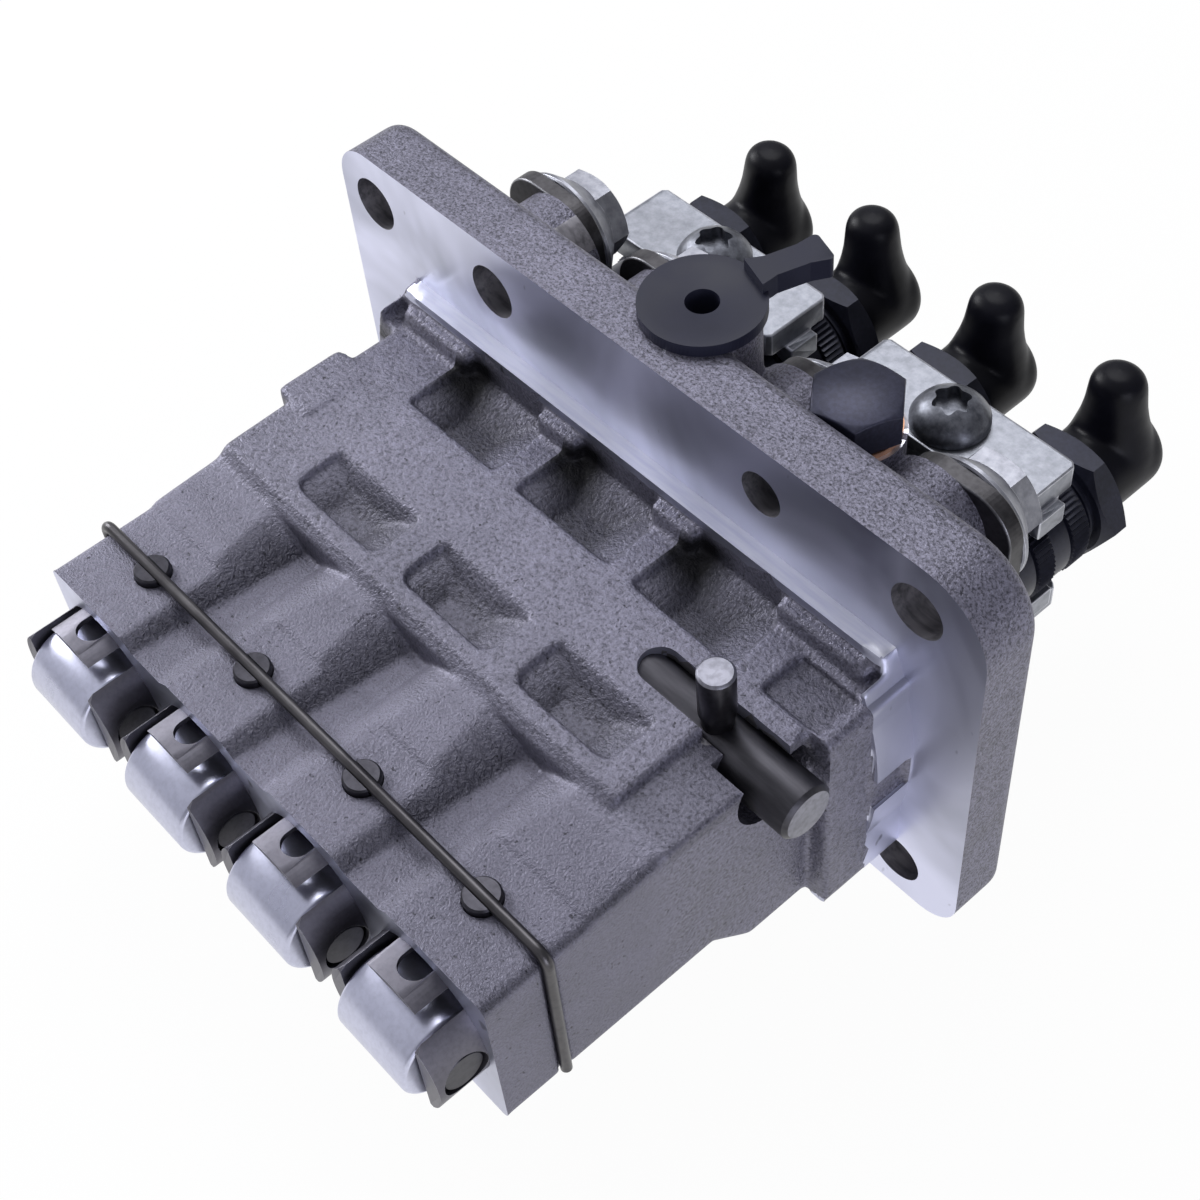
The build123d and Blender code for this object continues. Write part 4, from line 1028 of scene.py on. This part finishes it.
# Control rack and its drive pin.
# A round steel bar, dull and rubbed along its length, with a bare cut end; the pin is pressed in.
RACK_END = 63.2
ALONG_THE_ROW = (0.15, 1.0, 1.0)
rack_steel = metal_finish(
    "rack_steel", (0.04, 0.039, 0.045), (0.08, 0.078, 0.088), 0.42, 700.0, 0.05, ALONG_THE_ROW,
)
cut_steel = metal_finish("cut_steel", (0.18, 0.18, 0.21), (0.27, 0.27, 0.31), 0.42, 900.0, 0.04)
rack = joined_copy("control_rack")
for face in rack.faces:
    if row_place(face.calc_center_median())[0] > RACK_END - 0.1:
        face.material_index = SECOND_FINISH
rack = shown("toothed_rack", rack, "rack", [rack_steel, cut_steel], ["control_rack"])
edges_broken(rack, 0.12)
pin = joined_copy("rack_drive_pin")
for face in pin.faces:
    if face.normal.z > LEVEL_LEAN:
        face.material_index = SECOND_FINISH
pin = shown("drive_pin", pin, "rack", [pin_steel, cut_steel], ["rack_drive_pin"])
edges_broken(pin, 0.12)


# Guide pins and the wire that holds them.
# Turned steel pins with a slotted head; one spring wire lies in the four slots.
PIN_HEAD_RADIUS = 3.05
PIN_HEAD_LOW = 13.9
PIN_HEAD_TOP = 16.6
PIN_DOG_RADIUS = 2.35
PIN_DOG_END = 10.2
PIN_CHAMFER = 0.3
WIRE_SLOT_WIDTH = 2.0
WIRE_SLOT_FLOOR = 15.35


def guide_pin_mesh():
    """A round head with its slot and the dog that reaches into the tappet's groove."""
    pin = turned([
        (0.0, PIN_DOG_END), (PIN_DOG_RADIUS, PIN_DOG_END), (PIN_DOG_RADIUS, PIN_HEAD_LOW),
        (PIN_HEAD_RADIUS, PIN_HEAD_LOW), (PIN_HEAD_RADIUS, PIN_HEAD_TOP - PIN_CHAMFER),
        (PIN_HEAD_RADIUS - PIN_CHAMFER, PIN_HEAD_TOP), (0.0, PIN_HEAD_TOP),
    ], SMALL_ROUND)
    reach, half = 2 * PIN_HEAD_RADIUS, WIRE_SLOT_WIDTH / 2
    slot = block((-reach, -half, WIRE_SLOT_FLOOR), (reach, half, PIN_HEAD_TOP + 1))
    return combined(pin, slot, "DIFFERENCE")


guide_pin = guide_pin_mesh()
guide_pins = gathered([set_down(guide_pin.copy(), x, GUIDE_PIN_Y, 0.0) for x in ROW])
shown("slotted_guide_pins", guide_pins, "pump_body", [pin_steel], ["guide_pins"])
wire_steel = metal_finish(
    "wire_steel", (0.055, 0.052, 0.056), (0.10, 0.096, 0.10), 0.34, 900.0, 0.03, ALONG_THE_ROW,
)


def plain_finish(name, colour, metallic, roughness):
    """One colour with light clouds and fine marks, for pieces that are mostly hidden."""
    material, tree, shader = finish_of(name, metallic, roughness)
    cloud = noise(tree, 90.0, 3.0)
    marks = noise(tree, 1000.0, 2.0)
    dark = tuple(0.75 * value for value in colour)
    tree.links.new(between(tree, cloud, dark, colour), shader.inputs["Base Color"])
    relief(tree, shader, [(marks, 0.15, 0.03)])
    return material


def spring(name, bm, node):
    """A coil that rides on the pump body, with a mesh of its own."""
    coil = shown(name, bm, "pump_body", [spring_steel], [node])
    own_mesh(coil)


spring_steel = plain_finish("spring_steel", (0.25, 0.25, 0.27), 0.9, 0.3)
for number, x in zip(NUMBERS, ROW):
    spring(
        f"plunger_coil_{number}", joined_copy(f"plunger_spring_{number}"), f"plunger_spring_{number}",
    )
    coils = joined_copy("valve_springs")
    others = [vert for vert in coils.verts if abs(row_place(vert.co)[0] - x) > VALVE_CHAMBER]
    bmesh.ops.delete(coils, geom=others, context="VERTS")
    spring(
        f"valve_coil_{number}", coils, "valve_springs",
    )


# Pieces that keep the shape they have in the frame.
# Their finish alone is set here: inner steel parts, the rollers' pins, the wire, seals and gaskets.
dark_steel = plain_finish("dark_steel", (0.13, 0.13, 0.14), 0.9, 0.35)
copper = plain_finish("copper", (0.62, 0.33, 0.20), 0.95, 0.3)
seal_rubber = plain_finish("seal_rubber", (0.015, 0.015, 0.015), 0.0, 0.5)
kept = {
    "barrel_seals": seal_rubber, "valve_seats": roller_steel, "valve_gaskets": copper,
    "upper_spring_seats": spring_steel, "guide_pin_wire": wire_steel,
    "bleed_washer": copper,
}
for number in NUMBERS:
    kept[f"roller_pin_{number}"] = pin_steel
    kept[f"plunger_{number}"] = roller_steel
    kept[f"lower_spring_seat_{number}"] = spring_steel
    kept[f"control_sleeve_{number}"] = dark_steel
    kept[f"delivery_valve_{number}"] = roller_steel
for node, finish in kept.items():
    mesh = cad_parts[node].data
    mesh.materials.clear()
    mesh.materials.append(finish)


# Studio.
# A pale floor, a large soft light above and behind, a fill at the left and a pale surround
# that is darker towards the right, so that round metal shows its form.
WHITE = (1.0, 1.0, 1.0)
SKY = (0.92, 0.93, 1.0)
LAMP = (0.96, 0.97, 1.0)
FLOOR_SIZE = 2.0
FLOOR_GAP = 0.0005
FLOOR_GLOW = 0.965
FLOOR_COLOUR = (0.9, 0.9, 0.9, 1.0)
floor_mesh = bpy.data.meshes.new("floor")
bm = bmesh.new()
bmesh.ops.create_grid(bm, x_segments=1, y_segments=1, size=FLOOR_SIZE)
bmesh.ops.translate(bm, verts=bm.verts, vec=(0.0, 0.0, cad_box[0][2] - FLOOR_GAP))
bm.to_mesh(floor_mesh)
bm.free()
floor = bpy.data.objects.new("floor", floor_mesh)
bpy.context.scene.collection.objects.link(floor)
floor_finish, tree, shader = finish_of("floor_finish", 0.0, 0.8)
shader.inputs["Base Color"].default_value = FLOOR_COLOUR
glow = tree.nodes.new("ShaderNodeEmission")
glow.inputs["Color"].default_value = (*WHITE, 1.0)
seen = tree.nodes.new("ShaderNodeLightPath")
direct = tree.nodes.new("ShaderNodeMath")
direct.operation = "MAXIMUM"
share = tree.nodes.new("ShaderNodeMath")
share.operation = "MULTIPLY"
share.inputs[1].default_value = FLOOR_GLOW
surface = tree.nodes.new("ShaderNodeMixShader")
tree.links.new(seen.outputs["Is Camera Ray"], direct.inputs[0])
tree.links.new(seen.outputs["Is Glossy Ray"], direct.inputs[1])
tree.links.new(direct.outputs["Value"], share.inputs[0])
tree.links.new(share.outputs["Value"], surface.inputs["Fac"])
tree.links.new(shader.outputs["BSDF"], surface.inputs[1])
tree.links.new(glow.outputs["Emission"], surface.inputs[2])
tree.links.new(surface.outputs["Shader"], tree.nodes["Material Output"].inputs["Surface"])
floor_mesh.materials.append(floor_finish)

AMBIENT = 0.33
BRIGHT_SIDE = (-0.75, -0.1, 0.65)
DARK_STRENGTH = 0.06
BRIGHT_STRENGTH = 0.6
FADE_REACH = 0.7


def background(tree, colour, strength):
    """One colour of the surround."""
    node = tree.nodes.new("ShaderNodeBackground")
    node.inputs["Color"].default_value = (*colour, 1.0)
    node.inputs["Strength"].default_value = strength
    return node


world = bpy.data.worlds.new("studio")
bpy.context.scene.world = world
world.use_nodes = True
tree = world.node_tree
tree.nodes.clear()
ambient = background(tree, SKY, AMBIENT)
mirrored = background(tree, SKY, 1.0)
white = background(tree, WHITE, 1.0)
heading = tree.nodes.new("ShaderNodeTexCoord")
facing = tree.nodes.new("ShaderNodeVectorMath")
facing.operation = "DOT_PRODUCT"
facing.inputs[1].default_value = BRIGHT_SIDE
fade = tree.nodes.new("ShaderNodeMapRange")
fade.inputs["From Min"].default_value = -FADE_REACH
fade.inputs["From Max"].default_value = FADE_REACH
fade.inputs["To Min"].default_value = DARK_STRENGTH
fade.inputs["To Max"].default_value = BRIGHT_STRENGTH
ray = tree.nodes.new("ShaderNodeLightPath")
metal_choice = tree.nodes.new("ShaderNodeMixShader")
choice = tree.nodes.new("ShaderNodeMixShader")
output = tree.nodes.new("ShaderNodeOutputWorld")
tree.links.new(heading.outputs["Generated"], facing.inputs[0])
tree.links.new(facing.outputs["Value"], fade.inputs["Value"])
tree.links.new(fade.outputs["Result"], mirrored.inputs["Strength"])
tree.links.new(ray.outputs["Is Glossy Ray"], metal_choice.inputs["Fac"])
tree.links.new(ambient.outputs["Background"], metal_choice.inputs[1])
tree.links.new(mirrored.outputs["Background"], metal_choice.inputs[2])
tree.links.new(ray.outputs["Is Camera Ray"], choice.inputs["Fac"])
tree.links.new(metal_choice.outputs["Shader"], choice.inputs[1])
tree.links.new(white.outputs["Background"], choice.inputs[2])
tree.links.new(choice.outputs["Shader"], output.inputs["Surface"])


def soft_light(name, place, aim, size, power, colour=LAMP):
    """A square area light that looks at a point."""
    lamp = bpy.data.lights.new(name, "AREA")
    lamp.shape = "SQUARE"
    lamp.size = size
    lamp.energy = power
    lamp.color = colour
    obj = bpy.data.objects.new(name, lamp)
    obj.location = place
    obj.rotation_euler = (Vector(aim) - Vector(place)).to_track_quat("-Z", "Y").to_euler()
    bpy.context.scene.collection.objects.link(obj)


soft_light("top_light", (-0.3, 0.3, 0.75), (0.0, 0.0, 0.0), 0.5, 3.4)
soft_light("left_light", (-0.75, -0.15, 0.32), (0.0, -0.03, 0.0), 0.4, 5.2)
soft_light("right_light", (0.8, -0.3, 0.1), (0.0, -0.03, 0.0), 0.5, 3.2, (0.84, 0.86, 1.0))

CAMERA_PLACE = Vector((0.17745, -0.1415, 0.26525))
CAMERA_VIEW = Vector((-0.4987, 0.3739, -0.7820)).normalized()
CAMERA_RIGHT = Vector((0.6647, 0.7439, -0.0682)).normalized()
PHOTO_WIDTH = 1200.0
SENSOR_WIDTH = 36.0
NEAREST = 0.01
FOCAL_PIXELS = 2051.0
camera_data = bpy.data.cameras.new("camera")
camera_data.sensor_width = SENSOR_WIDTH
camera_data.lens = SENSOR_WIDTH * FOCAL_PIXELS / PHOTO_WIDTH
camera_data.clip_start = NEAREST
camera = bpy.data.objects.new("camera", camera_data)
right = (CAMERA_RIGHT - CAMERA_RIGHT.dot(CAMERA_VIEW) * CAMERA_VIEW).normalized()
up = right.cross(CAMERA_VIEW)
turn = Matrix((right, up, -CAMERA_VIEW)).transposed().to_4x4()
camera.matrix_world = Matrix.Translation(CAMERA_PLACE) @ turn
bpy.context.scene.collection.objects.link(camera)
bpy.context.scene.camera = camera
bpy.context.scene.view_settings.view_transform = "Standard"
